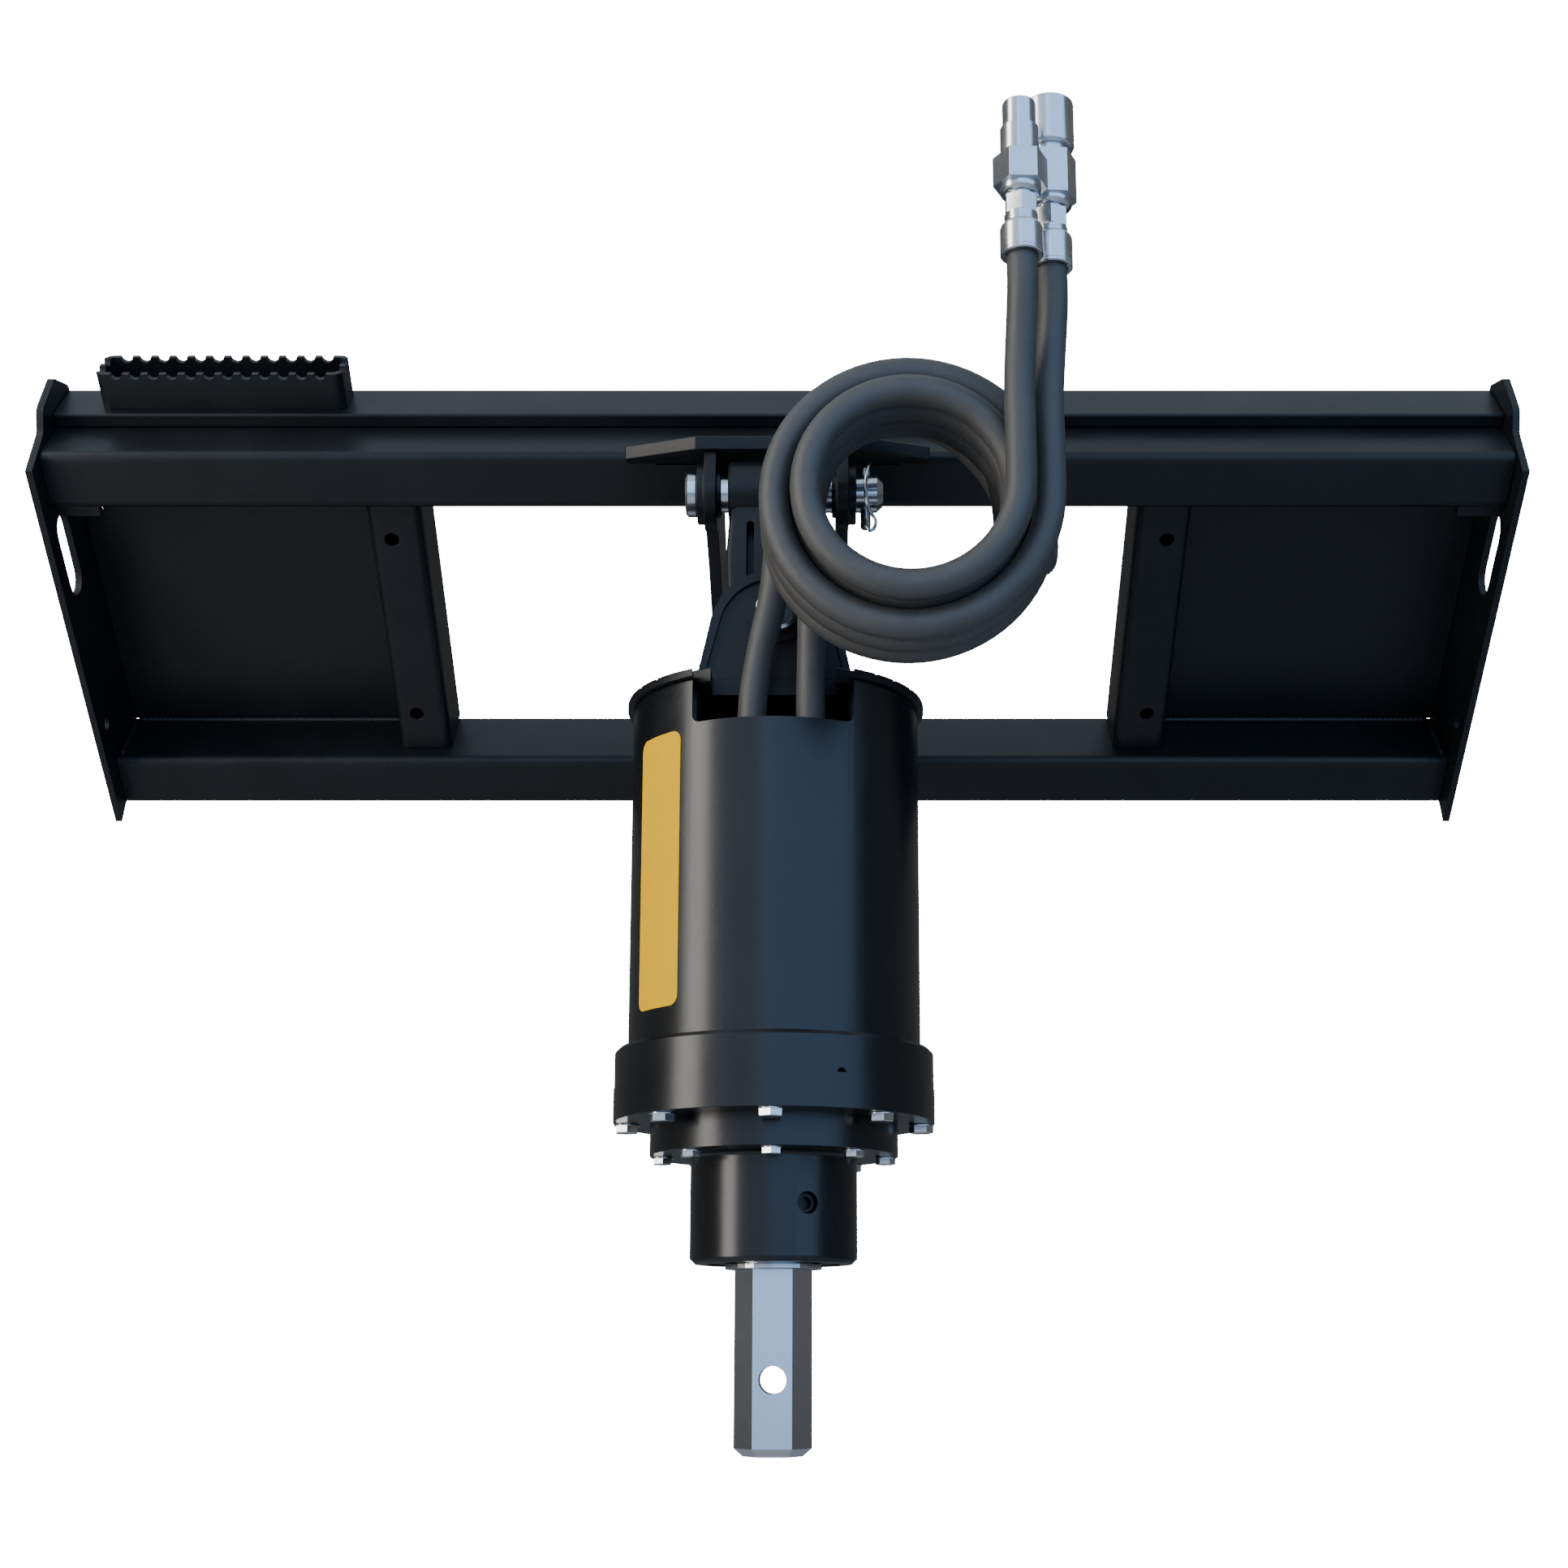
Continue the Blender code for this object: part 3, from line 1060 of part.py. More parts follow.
def hose_coil(name, radius, first, drive):
    """The stacked turns of one hose as a turned ring with a lobe for each turn."""
    r = HOSE_D / 2
    outer, inner = [], []
    for turn in range(COIL_TURNS):
        y = first + COIL_PITCH * (turn + 0.5)
        for angle in (-50, 0, 50):
            a = math.radians(angle)
            outer.append((radius + r * math.cos(a), y + r * math.sin(a)))
            inner.append((radius - r * math.cos(a), y + r * math.sin(a)))
    first_end = (radius, first + COIL_PITCH / 2 - r)
    last_end = (radius, first + COIL_PITCH * (COIL_TURNS - 0.5) + r)
    profile = [first_end] + outer + [last_end] + list(reversed(inner))
    bm = lathe(profile, 26, "Y")
    return add(name, bm, drive, HOSE, (COIL_X, 0, COIL_Z))


def hoses(drive):
    for word, route, radius, y in (("return", RETURN_ROUTE, OUTER_COIL_R, OUTER_COIL_Y),
                                   ("pressure", PRESSURE_ROUTE, INNER_COIL_R, INNER_COIL_Y)):
        rear = y + COIL_PITCH * (COIL_TURNS - 0.5) + HOSE_D / 2 + GAP
        x = COIL_X + radius * math.cos(ENTRY_ANGLE)
        z = COIL_Z + radius * math.sin(ENTRY_ANGLE)
        points = smooth_route(route + [(x, rear + 0.010, z)], HOSE_D * 1.3) + [(x, rear, z)]
        curve_tube(f"{word}_hose_run", points, HOSE_D / 2, drive, HOSE, 2)
    hose_coil("return_hose_coil", OUTER_COIL_R, OUTER_COIL_Y, drive)
    hose_coil("pressure_hose_coil", INNER_COIL_R, INNER_COIL_Y, drive)
    outer_front = OUTER_COIL_Y + COIL_PITCH / 2 - HOSE_D / 2
    clear_of_outer = outer_front - HOSE_D / 2 - 0.0008
    on_outer = OUTER_COIL_Y + COIL_PITCH / 2
    for word, radius, y, coupler, base in (
            ("pressure", INNER_COIL_R, clear_of_outer, MALE_COUPLER, MALE_BASE_Z),
            ("return", OUTER_COIL_R, on_outer, FEMALE_COUPLER, FEMALE_BASE_Z)):
        x = COIL_X + radius
        reach, inside = radius + HOSE_D / 2, radius - HOSE_D / 2
        start = COIL_Z + math.sqrt(reach ** 2 - inside ** 2) + GAP
        top = base - GAP
        third = (top - start) / 3
        points = [(x, y, start), (x, y, start + third), (*coupler, top - third), (*coupler, top)]
        curve_tube(f"{word}_hose_riser", smooth_route(points, third), HOSE_D / 2, drive, HOSE, 2)


# Couplers

COUPLER_BORE = 0.006
MALE_FERRULE_L = 0.0331
FEMALE_FERRULE_L = 0.0356


def turned(name, profile, x, y, base, drive, look=PLATED, segments=20):
    points = [(COUPLER_BORE, profile[0][1])] + profile + [(COUPLER_BORE, profile[-1][1])]
    return add(name, lathe(points, segments), drive, look, (x, y, base))


def ferrule(word, x, y, base, radius, shoulder, length, drive):
    """Crimped sleeve that narrows to a collar."""
    profile = [(COUPLER_BORE, 0.0), (radius - 0.0009, 0.0), (radius, 0.0010),
               (radius, shoulder - 0.0030), (radius - 0.0016, shoulder - 0.0006),
               (0.0122, shoulder + 0.0010), (0.0122, length), (COUPLER_BORE, length)]
    add(f"{word}_ferrule", lathe(profile, 20), drive, PLATED, (x, y, base))


def male_coupler(x, y, drive):
    """Flat-faced nipple: small nut, round collar, large nut and stepped nose."""
    base = MALE_FERRULE_L + GAP
    profile = [(0.0100, base), (0.0113, base + 0.0008), (0.0113, 0.0455), (0.0100, 0.0459),
               (0.0100, 0.0468), (0.0135, 0.0480), (0.0144, 0.0492), (0.0144, 0.0520),
               (0.0160, 0.0532), (0.0194, 0.0562), (0.0194, 0.0764), (0.0134, 0.0766),
               (0.0134, 0.1004), (0.0116, 0.1010), (0.0116, 0.1178), (0.0104, 0.1191)]
    body = turned("male_coupler", profile, x, y, MALE_BASE_Z, drive)
    flats(body, 0.0205, base - 0.0005, 0.0457, 0.0225, math.pi / 6)
    flats(body, 0.0335, 0.0505, 0.0775, 0.0400, math.radians(9.0))


def female_coupler(x, y, drive):
    """Socket half: small nut, round collar, large nut, neck and a sliding sleeve."""
    base = FEMALE_FERRULE_L + GAP
    profile = [(0.0108, base), (0.0124, base + 0.0008), (0.0124, 0.0473), (0.0108, 0.0477),
               (0.0108, 0.0486), (0.0146, 0.0498), (0.0156, 0.0510), (0.0156, 0.0530),
               (0.0166, 0.0540), (0.0197, 0.0564), (0.0197, 0.0892), (0.0122, 0.0894),
               (0.0122, 0.1330), (0.0112, 0.1340)]
    body = turned("female_coupler", profile, x, y, FEMALE_BASE_Z, drive)
    flats(body, 0.0222, base - 0.0005, 0.0475, 0.0250, math.pi / 6)
    flats(body, 0.0340, 0.0518, 0.0905, 0.0410, math.radians(7.0))
    low, high = 0.0959, 0.1353
    sleeve = [(0.0125, low), (0.0152, low), (0.0169, low + 0.0030), (0.0169, high - 0.0022),
              (0.0150, high), (0.0125, high)]
    add("female_sleeve", lathe(sleeve, 20), drive, PLATED, (x, y, FEMALE_BASE_Z))


def flats(body, across_flats, low, high, outside, start):
    """Mill a hexagon on a turned fitting between two heights."""
    bm = bmesh.new()
    hexagon = [bm.verts.new((x, y, low)) for x, y in hex_points(across_flats, start)]
    circle = [bm.verts.new((x, y, low)) for x, y in ring_of_points(outside, 12)]
    edges = [bm.edges.new((loop[k - 1], loop[k])) for loop in (hexagon, circle)
             for k in range(len(loop))]
    bridged = bmesh.ops.bridge_loops(bm, edges=edges)
    grown = bmesh.ops.extrude_face_region(bm, geom=bridged["faces"])
    top = [v for v in grown["geom"] if isinstance(v, bmesh.types.BMVert)]
    bmesh.ops.translate(bm, verts=top, vec=(0, 0, high - low))
    cut(body, bm, f"{body.name}_flats_{low:.3f}")


def couplers(drive):
    ferrule("pressure", *MALE_COUPLER, MALE_BASE_Z, 0.0150, 0.0250, MALE_FERRULE_L, drive)
    male_coupler(*MALE_COUPLER, drive)
    ferrule("return", *FEMALE_COUPLER, FEMALE_BASE_Z, 0.0158, 0.0295, FEMALE_FERRULE_L, drive)
    female_coupler(*FEMALE_COUPLER, drive)


def build():
    clear_scene()
    frame = empty("frame_roll", (0, 0, 0), tilt=FRAME_ROLL)
    side_plates(frame)
    top = rail("top_rail", RAIL_SPACING / 2, frame)
    rail("bottom_rail", -RAIL_SPACING / 2, frame)
    latch_stops(top)
    top_lip(frame)
    coupler_plates(frame)
    step_tread(frame)
    rail_doubler(frame)
    hitch_top_plate(frame)
    hitch_ears(frame)
    upper_pin(frame)

    cos_roll, sin_roll = math.cos(FRAME_ROLL), math.sin(FRAME_ROLL)
    pin_y = -sin_roll * PIN_UP - cos_roll * PIN_OUT
    pin_z = cos_roll * PIN_UP - sin_roll * PIN_OUT
    swing = empty("swing_axis", (0, pin_y, pin_z))
    cradle_link(swing)

    drive = empty("tilt_axis", (0, pin_y + PLUMB_Y, pin_z - PIN_SPACING))
    hood(drive)
    lower_pin(drive)
    head_plate(drive)
    tie_rods(drive)
    shell(drive)
    cap_ring(drive)
    _, neck_low = gearbox(drive)
    bearings_and_seal(neck_low, drive)
    motor(drive)
    port_adaptors(drive)
    hoses(drive)
    couplers(drive)

    shaft = empty("shaft_axis", (0, 0, 0), drive)
    sun_axis = empty("sun_axis", (0, 0, 0), drive)
    centre = MODULE * (SUN_TEETH + PLANET_TEETH) / 2
    planet_axes = [empty(f"planet_axis_{k + 1}",
                         (centre * math.cos(math.tau * k / PLANETS),
                          centre * math.sin(math.tau * k / PLANETS), 0), shaft)
                   for k in range(PLANETS)]
    gear_train(drive, shaft, sun_axis, planet_axes)


build()
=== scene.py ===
# %% [markdown]
# # An earth auger drive on its loader frame
#
# This notebook dresses a finished mechanical model: a hydraulic auger drive that hangs
# from a mounting frame. The solids come in first as a fixed frame of reference. Every
# new piece is then built in the same metres, so nothing has to be fitted by eye.

# %% Load the solids
import json
import math

import bmesh
import bpy
from mathutils import Matrix, Vector


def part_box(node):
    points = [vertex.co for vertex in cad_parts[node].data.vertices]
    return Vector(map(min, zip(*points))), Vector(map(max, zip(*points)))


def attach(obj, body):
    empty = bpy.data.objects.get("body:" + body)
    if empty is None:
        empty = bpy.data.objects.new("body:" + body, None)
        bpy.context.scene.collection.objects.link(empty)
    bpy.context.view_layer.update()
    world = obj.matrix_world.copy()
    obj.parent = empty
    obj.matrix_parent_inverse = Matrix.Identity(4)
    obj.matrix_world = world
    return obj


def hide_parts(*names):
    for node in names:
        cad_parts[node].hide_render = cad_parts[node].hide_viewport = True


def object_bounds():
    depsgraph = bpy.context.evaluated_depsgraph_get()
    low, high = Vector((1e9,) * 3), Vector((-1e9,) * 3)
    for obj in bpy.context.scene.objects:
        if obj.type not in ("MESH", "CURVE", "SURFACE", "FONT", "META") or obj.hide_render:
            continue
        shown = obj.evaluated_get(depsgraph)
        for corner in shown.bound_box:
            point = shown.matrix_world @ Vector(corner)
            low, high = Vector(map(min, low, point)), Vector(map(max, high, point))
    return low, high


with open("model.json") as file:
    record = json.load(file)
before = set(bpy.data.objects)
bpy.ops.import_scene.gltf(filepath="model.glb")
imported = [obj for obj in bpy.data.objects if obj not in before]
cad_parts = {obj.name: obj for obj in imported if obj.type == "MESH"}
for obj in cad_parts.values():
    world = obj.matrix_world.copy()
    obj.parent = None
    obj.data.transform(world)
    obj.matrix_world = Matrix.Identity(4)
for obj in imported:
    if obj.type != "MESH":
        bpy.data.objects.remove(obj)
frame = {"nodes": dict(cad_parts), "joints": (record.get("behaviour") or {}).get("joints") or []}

NODES = frame["nodes"]
CAD_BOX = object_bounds()
print("CAD nodes:", len(NODES))


def into_scene(name, data):
    """Make an object of some data and put it into the scene."""
    thing = bpy.data.objects.new(name, data)
    bpy.context.scene.collection.objects.link(thing)
    return thing


# %% [markdown]
# ## Where the drive hangs
#
# The drive turns on two crossed pins. Most sizes below are easiest to think of from
# the middle of the drive at the height of its tilt pin, so one small function turns
# such a place into a place in the scene.

# %% Places on the drive
HINGES = {joint["name"]: Vector(joint["pos_m"]) for joint in frame["joints"]}
TILT = HINGES["cradle_tilt"]
DRIVE = Vector((0.0, TILT.y, TILT.z))


def on_drive(x, y, z):
    """A place measured from the drive's axis, at the tilt pin's height."""
    return DRIVE + Vector((x, y, z))


print("drive axis at", tuple(round(v, 4) for v in DRIVE))

# %% [markdown]
# ## The camera
#
# The photograph was taken from low down with a long lens, looking up a little. Its
# vanishing lines give the lens and the height of the eye. The picture was cropped off
# centre, and the shift of the lens does the same here.

# %% The camera
CAMERA_AT = on_drive(0.0365, -1.5889, -0.5684)
view = bpy.data.cameras.new("camera")
view.sensor_width = 36.0
view.lens = 47.845
view.shift_x = -0.02415
view.shift_y = 0.1063
view.clip_start = 0.05
view.clip_end = 60.0
camera = into_scene("camera", view)
camera.location = CAMERA_AT
LOOK_UP = 11.1045
camera.rotation_euler = (math.radians(90.0 + LOOK_UP), 0.0, 0.0)
bpy.context.scene.camera = camera
print("camera at", tuple(round(v, 3) for v in CAMERA_AT))

# %% [markdown]
# ## Materials
#
# A real finish is never one flat value. Powder coat has a faint orange peel, zinc has
# pale clouds, and rubber has a dusty bloom. Each material starts from the same shader
# and then gets noise that varies its colour, its roughness and its bump.

# %% A material with a mottled colour and roughness
def mottled(name, dark, light, rough, metal=0.0, cloud=14.0, grain=700.0, bump=0.06,
            reach=0.0004, specular=0.5):
    """A finish that drifts between two colours and two roughness values."""
    material = bpy.data.materials.new(name)
    material.use_nodes = True
    tree = material.node_tree
    shader = tree.nodes["Principled BSDF"]
    shader.inputs["Metallic"].default_value = metal
    shader.inputs["Specular IOR Level"].default_value = specular
    place = tree.nodes.new("ShaderNodeTexCoord")
    clouds = tree.nodes.new("ShaderNodeTexNoise")
    clouds.inputs["Scale"].default_value = cloud
    clouds.inputs["Detail"].default_value = 5.0
    clouds.inputs["Roughness"].default_value = 0.6
    tree.links.new(place.outputs["Object"], clouds.inputs["Vector"])
    colour = tree.nodes.new("ShaderNodeValToRGB")
    colour.color_ramp.elements[0].position = 0.32
    colour.color_ramp.elements[1].position = 0.70
    colour.color_ramp.elements[0].color = (*dark, 1.0)
    colour.color_ramp.elements[1].color = (*light, 1.0)
    tree.links.new(clouds.outputs["Fac"], colour.inputs["Fac"])
    tree.links.new(colour.outputs["Color"], shader.inputs["Base Color"])
    gloss = tree.nodes.new("ShaderNodeMapRange")
    gloss.inputs["From Min"].default_value = 0.3
    gloss.inputs["From Max"].default_value = 0.7
    gloss.inputs["To Min"].default_value = rough[0]
    gloss.inputs["To Max"].default_value = rough[1]
    tree.links.new(clouds.outputs["Fac"], gloss.inputs["Value"])
    tree.links.new(gloss.outputs["Result"], shader.inputs["Roughness"])
    grains = tree.nodes.new("ShaderNodeTexNoise")
    grains.inputs["Scale"].default_value = grain
    grains.inputs["Detail"].default_value = 3.0
    tree.links.new(place.outputs["Object"], grains.inputs["Vector"])
    relief = tree.nodes.new("ShaderNodeBump")
    relief.inputs["Strength"].default_value = bump
    relief.inputs["Distance"].default_value = reach
    tree.links.new(grains.outputs["Fac"], relief.inputs["Height"])
    tree.links.new(relief.outputs["Normal"], shader.inputs["Normal"])
    return material


# %% [markdown]
# Turned and drawn steel keeps the marks of its tool. Fine bands across the piece's own
# length, stretched out of a noise, look like them without a picture.

# %% Tool marks for bare steel
def add_tool_marks(material, stretch, strength=0.12):
    """Fine parallel marks: stretch says how much the noise is squeezed along X, Y and Z."""
    tree = material.node_tree
    shader = tree.nodes["Principled BSDF"]
    place = tree.nodes.new("ShaderNodeTexCoord")
    turn = tree.nodes.new("ShaderNodeMapping")
    turn.inputs["Scale"].default_value = stretch
    tree.links.new(place.outputs["Object"], turn.inputs["Vector"])
    marks = tree.nodes.new("ShaderNodeTexNoise")
    marks.inputs["Scale"].default_value = 1.0
    marks.inputs["Detail"].default_value = 4.0
    tree.links.new(turn.outputs["Vector"], marks.inputs["Vector"])
    relief = tree.nodes.new("ShaderNodeBump")
    relief.inputs["Strength"].default_value = strength
    relief.inputs["Distance"].default_value = 0.0003
    tree.links.new(marks.outputs["Fac"], relief.inputs["Height"])
    before = shader.inputs["Normal"].links[0].from_socket
    tree.links.new(before, relief.inputs["Normal"])
    tree.links.new(relief.outputs["Normal"], shader.inputs["Normal"])
    return material


satin_coat = mottled("satin_black_coat", (0.0055, 0.0060, 0.0070), (0.0085, 0.0092, 0.0105),
                     (0.34, 0.44), grain=900.0, bump=0.10, specular=0.34)
gloss_coat = mottled("gloss_black_coat", (0.0045, 0.0048, 0.0055), (0.0065, 0.0070, 0.0080),
                     (0.24, 0.29), grain=420.0, bump=0.04, specular=0.55)
black_steel = mottled("blackened_steel", (0.012, 0.012, 0.013), (0.022, 0.022, 0.023),
                      (0.32, 0.45), 0.6, cloud=80.0, grain=1200.0)
zinc = mottled("bright_zinc", (0.70, 0.72, 0.75), (0.78, 0.79, 0.80), (0.18, 0.25), 1.0,
               cloud=45.0, grain=1500.0, bump=0.02)
fitting_steel = mottled("fitting_steel", (0.72, 0.74, 0.77), (0.78, 0.80, 0.82), (0.20, 0.27),
                        1.0, cloud=40.0, grain=1800.0, bump=0.02)
shaft_steel = add_tool_marks(mottled("bare_shaft_steel", (0.66, 0.67, 0.69), (0.70, 0.71, 0.73),
                                     (0.24, 0.29), 1.0, cloud=14.0, grain=1200.0, bump=0.015),
                             (700.0, 700.0, 24.0), 0.03)
gear_steel = add_tool_marks(mottled("ground_gear_steel", (0.34, 0.35, 0.36), (0.50, 0.50, 0.51),
                                    (0.24, 0.36), 1.0, cloud=50.0), (900.0, 900.0, 30.0))
casting = mottled("painted_casting", (0.012, 0.013, 0.015), (0.022, 0.024, 0.027), (0.45, 0.65),
                  grain=260.0, bump=0.25, reach=0.0007)
hose_rubber = mottled("hose_rubber", (0.052, 0.049, 0.045), (0.070, 0.066, 0.061), (0.50, 0.62),
                      cloud=30.0, grain=1100.0, bump=0.16, specular=0.65)
seal_rubber = mottled("seal_rubber", (0.012, 0.012, 0.013), (0.020, 0.020, 0.021), (0.5, 0.7))
yellow_film = mottled("yellow_film", (0.93, 0.49, 0.0), (0.97, 0.53, 0.0), (0.45, 0.52),
                      specular=0.06)
weld_metal = mottled("coated_weld", (0.006, 0.0065, 0.0075), (0.011, 0.012, 0.0135), (0.38, 0.52),
                     cloud=200.0, grain=900.0, bump=0.25, reach=0.0006)
print("materials:", len(bpy.data.materials))

# %% [markdown]
# ## Turned pieces
#
# The shell, the gearbox and the pins are all turned about one line. Spinning a profile
# with many steps gives them a smooth outline. The profile is walked from point to
# point, and its sharp corners can get a small chamfer that shows up as a bright line.

# %% Spin a profile
def spun(profile, steps=128, chamfer=0.0):
    """A closed ring or rod from (radius, height) points, about the Z axis."""
    bm = bmesh.new()
    corners = [bm.verts.new((radius, 0.0, height)) for radius, height in profile]
    edges = [bm.edges.new((corners[k - 1], corners[k])) for k in range(len(corners))]
    bmesh.ops.spin(bm, geom=corners + edges, cent=(0, 0, 0), axis=(0, 0, 1), angle=math.tau,
                   steps=steps, use_merge=True, use_duplicate=False)
    bmesh.ops.remove_doubles(bm, verts=bm.verts, dist=1e-7)
    middle = [e for e in bm.edges if all(v.co.xy.length < 1e-7 for v in e.verts)]
    bmesh.ops.delete(bm, geom=middle, context="EDGES")
    bmesh.ops.recalc_face_normals(bm, faces=bm.faces)
    if chamfer > 0.0:
        sharp = [e for e in bm.edges if len(e.link_faces) == 2 and e.calc_face_angle(0.0) > 0.5]
        bmesh.ops.bevel(bm, geom=sharp, offset=chamfer, offset_type="OFFSET", affect="EDGES",
                        segments=2, profile=0.5, clamp_overlap=True, material=-1)
    return bm


def take_in(whole, part):
    """Put one bmesh into another and let go of it."""
    holder = bpy.data.meshes.new("holder")
    part.to_mesh(holder)
    part.free()
    whole.from_mesh(holder)
    bpy.data.meshes.remove(holder)


def keep_faces_true(piece):
    """Let each large face keep its own shading next to a small chamfer."""
    weighted = piece.modifiers.new("true faces", "WEIGHTED_NORMAL")
    weighted.keep_sharp = True


CREASE = math.radians(38)


def place(name, bm, finish, body, at=(0, 0, 0), turn=None, stands_for=(), slot=None):
    """Put a finished bmesh into the scene, riding on its body."""
    if turn is not None:
        bmesh.ops.transform(bm, matrix=turn, verts=bm.verts)
    bmesh.ops.translate(bm, vec=at, verts=bm.verts)
    mesh = bpy.data.meshes.new(name)
    bm.to_mesh(mesh)
    bm.free()
    mesh.shade_smooth()
    mesh.set_sharp_from_angle(angle=CREASE)
    mesh.materials.append(finish)
    piece = into_scene(name, mesh)
    keep_faces_true(piece)
    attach(piece, body)
    if stands_for:
        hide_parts(*stands_for)
    return piece


def carve(piece, cutter_bm, at=(0, 0, 0)):
    """Cut a shape out of a piece for good."""
    bmesh.ops.translate(cutter_bm, vec=at, verts=cutter_bm.verts)
    bmesh.ops.recalc_face_normals(cutter_bm, faces=cutter_bm.faces)
    mesh = bpy.data.meshes.new("cutter")
    cutter_bm.to_mesh(mesh)
    cutter_bm.free()
    cutter = into_scene("cutter", mesh)
    tool = piece.modifiers.new("cut", "BOOLEAN")
    tool.operation = "DIFFERENCE"
    tool.solver = "EXACT"
    tool.object = cutter
    bpy.context.view_layer.update()
    done = bpy.data.meshes.new_from_object(piece.evaluated_get(
        bpy.context.evaluated_depsgraph_get()))
    piece.modifiers.clear()
    piece.data = done
    keep_faces_true(piece)
    piece.data.shade_smooth()
    piece.data.set_sharp_from_angle(angle=CREASE)
    bpy.data.objects.remove(cutter)
    return piece


def block(low, high):
    """A plain box to cut with."""
    bm = bmesh.new()
    bmesh.ops.create_cube(bm, size=1.0)
    size = [b - a for a, b in zip(low, high)]
    centre = [(a + b) / 2 for a, b in zip(low, high)]
    bmesh.ops.scale(bm, vec=size, verts=bm.verts)
    bmesh.ops.translate(bm, vec=centre, verts=bm.verts)
    return bm


# %% [markdown]
# ## Hose ends
#
# Each hose ends in a crimped sleeve and one half of a quick coupler. They are turned
# from bar, with a hexagonal prism where a wrench goes.

# %% Where the hoses end
MALE_AT, FEMALE_AT = (0.177, -0.246), (0.202, -0.212)
MALE_BASE, FEMALE_BASE = 0.1944, 0.2021


def broken(bm, width):
    """Take the sharpness off every edge."""
    bmesh.ops.bevel(bm, geom=bm.edges[:], offset=width, offset_type="OFFSET", affect="EDGES",
                    segments=1, profile=0.5, material=-1)


def hexagon(across, low, high, start):
    """A hexagonal prism for a wrench, its edges just broken."""
    bm = bmesh.new()
    radius = across / math.sqrt(3)
    bmesh.ops.create_cone(bm, segments=6, cap_ends=True, cap_tris=False, radius1=radius,
                          radius2=radius, depth=high - low)
    broken(bm, 0.0003)
    bmesh.ops.rotate(bm, verts=bm.verts, cent=(0, 0, 0),
                     matrix=Matrix.Rotation(start - math.radians(30), 3, "Z"))
    bmesh.ops.translate(bm, verts=bm.verts, vec=(0, 0, (low + high) / 2))
    return bm


def fitting(name, node, profile, at, base, hexes=(), bore=0.006):
    """A turned fitting with its wrench hexagons."""
    low, high = profile[0][1], profile[-1][1]
    whole = spun([(bore, low)] + profile + [(bore, high)], 72)
    for across, bottom, top, start in hexes:
        take_in(whole, hexagon(across, bottom, top, start))
    return place(name, whole, fitting_steel, "drive_unit", on_drive(*at, base),
                 stands_for=[node])


def crimped(name, node, at, base, radius, mouth, shoulder, length):
    """A crimped sleeve: a recess for the hose, a groove round its mouth, a narrow collar."""
    return fitting(name, node, [
        (0.0121, mouth + 0.0022), (0.0121, mouth), (radius - 0.0009, mouth),
        (radius, mouth + 0.0008),
        (radius, mouth + 0.0020), (radius - 0.0004, mouth + 0.0023),
        (radius - 0.0004, mouth + 0.0027), (radius, mouth + 0.0030),
        (radius, shoulder - 0.0036), (radius - 0.0007, shoulder - 0.0017),
        (radius - 0.0018, shoulder - 0.0004), (radius - 0.0031, shoulder), (0.0119, shoulder),
        (0.0119, shoulder + 0.0024), (0.0116, shoulder + 0.0026), (0.0116, shoulder + 0.0029),
        (0.0119, shoulder + 0.0031), (0.0119, length)], at, base)


# %% Turn the hose ends
pressure_crimp = crimped("pressure_crimp", "pressure_ferrule", MALE_AT, MALE_BASE,
                         0.0152, -0.0022, 0.0216, 0.0287)
return_crimp = crimped("return_crimp", "return_ferrule", FEMALE_AT, FEMALE_BASE,
                       0.0152, -0.0010, 0.0248, 0.0299)
nipple = fitting("coupler_nipple", "male_coupler", [
    (0.0100, 0.0289), (0.0100, 0.0440), (0.0126, 0.0444), (0.0142, 0.0460), (0.0148, 0.0474),
    (0.0148, 0.0502), (0.0144, 0.0507),
    (0.0144, 0.0734), (0.0139, 0.0737), (0.0139, 0.0958), (0.0134, 0.0962),
    (0.0120, 0.0963), (0.0120, 0.1148), (0.0116, 0.1160), (0.0107, 0.1165)], MALE_AT, MALE_BASE,
    [(0.0213, 0.0290, 0.0431, math.radians(29)), (0.0342, 0.0507, 0.0732, math.radians(2.4))])
socket = fitting("coupler_socket", "female_coupler", [
    (0.0105, 0.0301), (0.0105, 0.0456), (0.0134, 0.0460), (0.0150, 0.0474), (0.0158, 0.0486),
    (0.0158, 0.0506), (0.0152, 0.0512),
    (0.0152, 0.0866), (0.0140, 0.0869), (0.0136, 0.0874), (0.0136, 0.1272),
    (0.0126, 0.1282)], FEMALE_AT, FEMALE_BASE,
    [(0.0222, 0.0302, 0.0447, math.radians(25)), (0.0340, 0.0521, 0.0862, math.radians(4.2))])
sleeve_ring = fitting("coupler_sleeve", "female_sleeve", [
    (0.0160, 0.0927), (0.0174, 0.0934), (0.0183, 0.0952), (0.0183, 0.1277), (0.0180, 0.1288),
    (0.0172, 0.1294), (0.0160, 0.1296)], FEMALE_AT, FEMALE_BASE, bore=0.0138)
print("hose ends turned")

# %% [markdown]
# ## The two hoses
#
# Each hose leaves a port on the motor, climbs behind the coil, goes over its top and
# turns back behind its right side. From there it winds three turns toward the viewer
# and ends in a coupler that stands up beside the frame. A curve with a round bevel is
# the right tool: its own line is the hose's centre, so its length can be measured.

